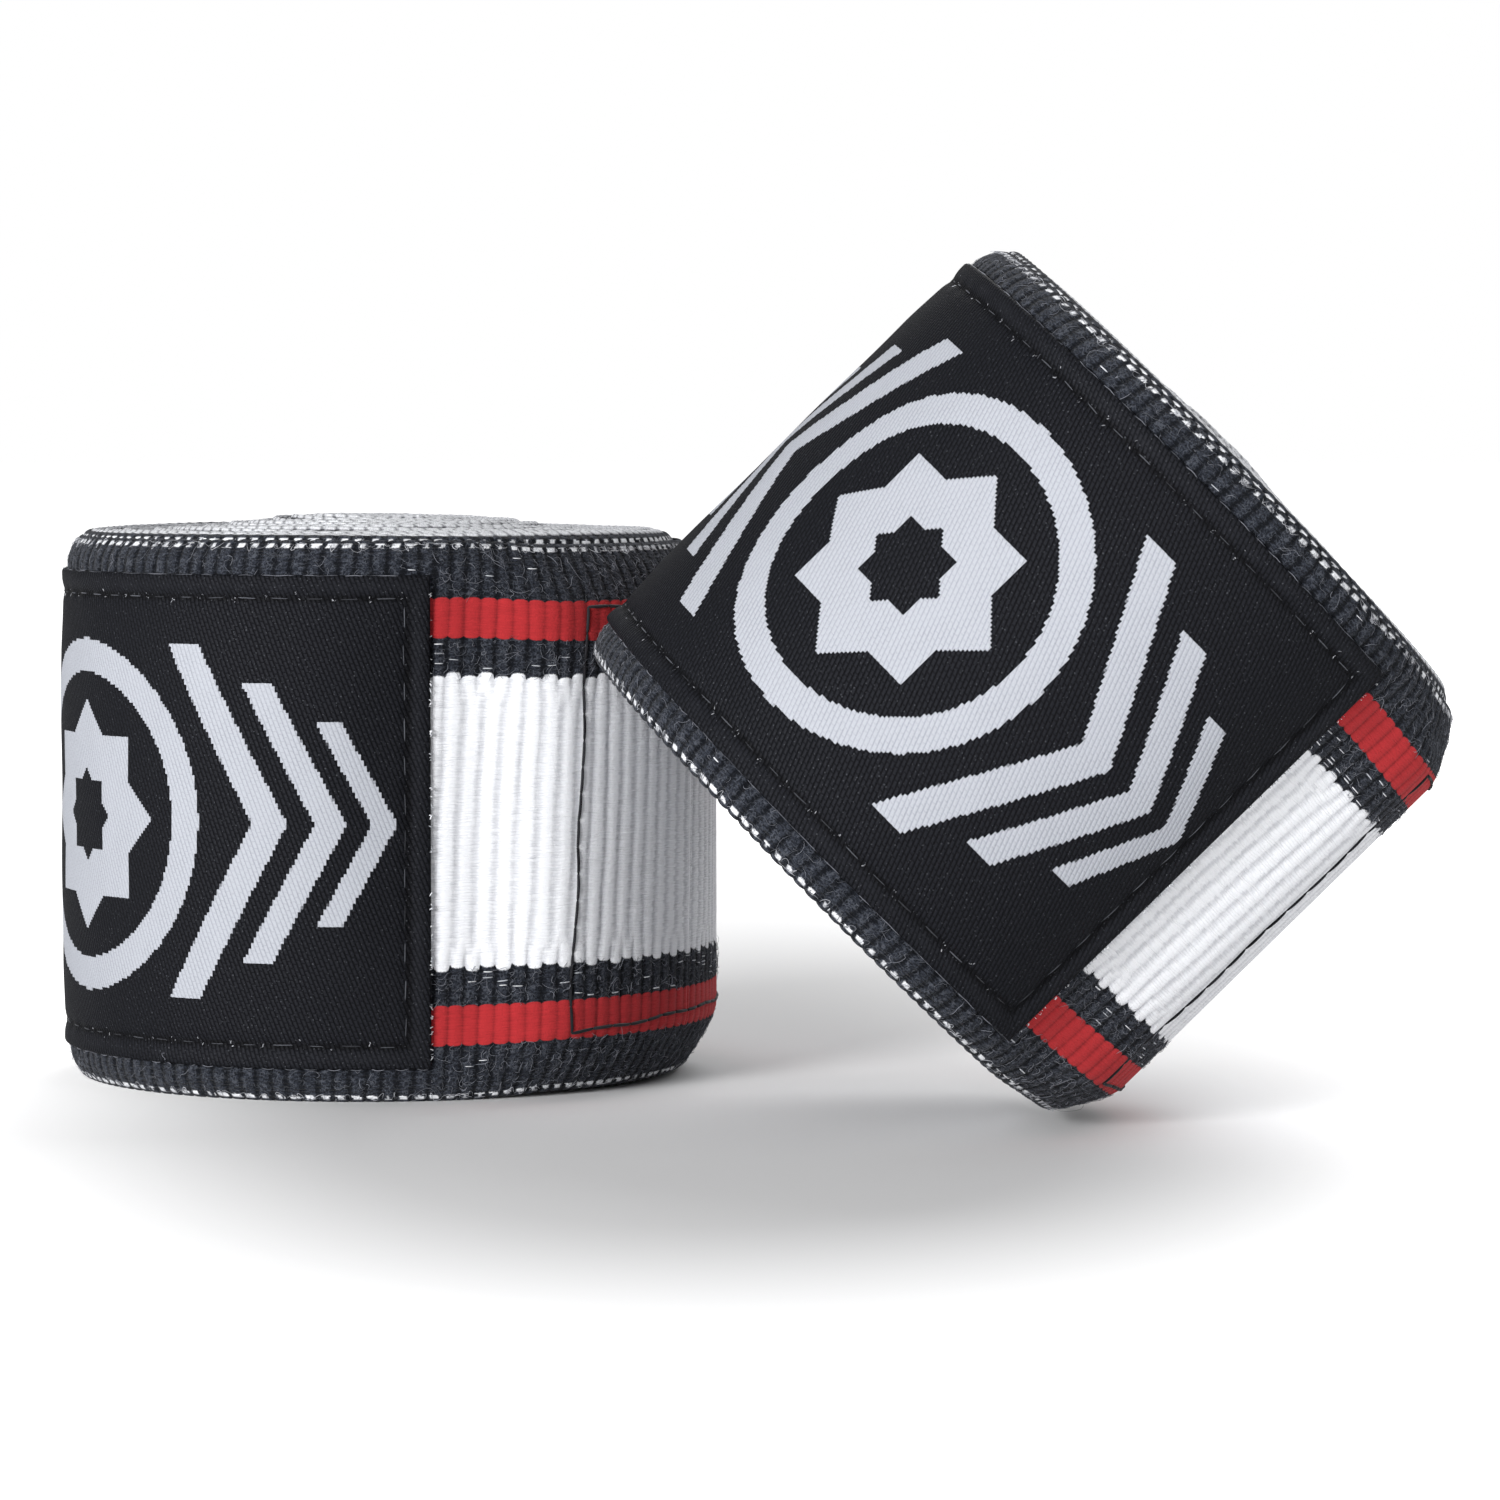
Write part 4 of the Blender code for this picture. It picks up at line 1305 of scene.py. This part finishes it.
bpy.ops.mesh.primitive_plane_add(size=FLOOR_SIZE, location=(0, 0, cad_low[2]))
floor = bpy.context.object
floor.name = "floor"
floor.data.materials.append(floor_finish())
print("the floor lies at", round(cad_low[2] / MM, 2), "mm")

# %% [markdown]
# ## Light and camera
# The pair is lit as small goods usually are: soft light from all round, a broad lamp behind
# that draws the rims, and one from the front left that lets the ribs show. An image of a
# studio could light it too, but a plain white world and three lamps are easier to change. The
# camera stands low and far off with a long lens, so that the rolls hardly taper.

# %% White surroundings
SOFT_LIGHT = 0.34                # strength of the white surroundings
world = bpy.data.worlds.new("soft_white")
bpy.context.scene.world = world
world.use_nodes = True
sky = world.node_tree.nodes["Background"]
sky.inputs["Color"].default_value = WHITE
seen = world.node_tree.nodes.new("ShaderNodeLightPath")
level = world.node_tree.nodes.new("ShaderNodeMapRange")
level.inputs["To Min"].default_value = SOFT_LIGHT
level.inputs["To Max"].default_value = 1.0
world.node_tree.links.new(seen.outputs["Is Camera Ray"], level.inputs["Value"])
world.node_tree.links.new(level.outputs["Result"], sky.inputs["Strength"])


print("the surroundings shine with strength", SOFT_LIGHT)


# %% Three soft lamps
def place_object(name, data, place, turn):
    thing = bpy.data.objects.new(name, data)
    thing.location, thing.rotation_euler = place, turn
    bpy.context.scene.collection.objects.link(thing)
    return thing


def soft_lamp(name, place, size, power):
    lamp = bpy.data.lights.new(name, 'AREA')
    lamp.shape, lamp.size, lamp.energy = 'DISK', size, power
    towards = Vector(LIT_POINT) - Vector(place)
    place_object(name, lamp, place, towards.to_track_quat('-Z', 'Y').to_euler())
    print("lamp", name, power, "W")


LIT_POINT = (0, 0, 0.03)
soft_lamp("behind", (0.36, 0.88, 0.74), 1.0, 9.0)
soft_lamp("front", (-0.68, -0.93, 0.28), 0.5, 19.0)
soft_lamp("right", (0.88, -0.70, 0.10), 0.4, 5.5)

# %% Camera
CAMERA_PLACE = (0.0012, -0.550, 0.062)
CAMERA_TILT = 0.0564             # radians below level
camera = bpy.data.cameras.new("camera")
camera.sensor_width = 36
camera.lens = 146.5
bpy.context.scene.camera = place_object("camera", camera, CAMERA_PLACE, (pi / 2 - CAMERA_TILT, 0, 0))
bpy.context.scene.view_settings.view_transform = 'Standard'
print("the camera's lens is", round(camera.lens, 1), "mm long")
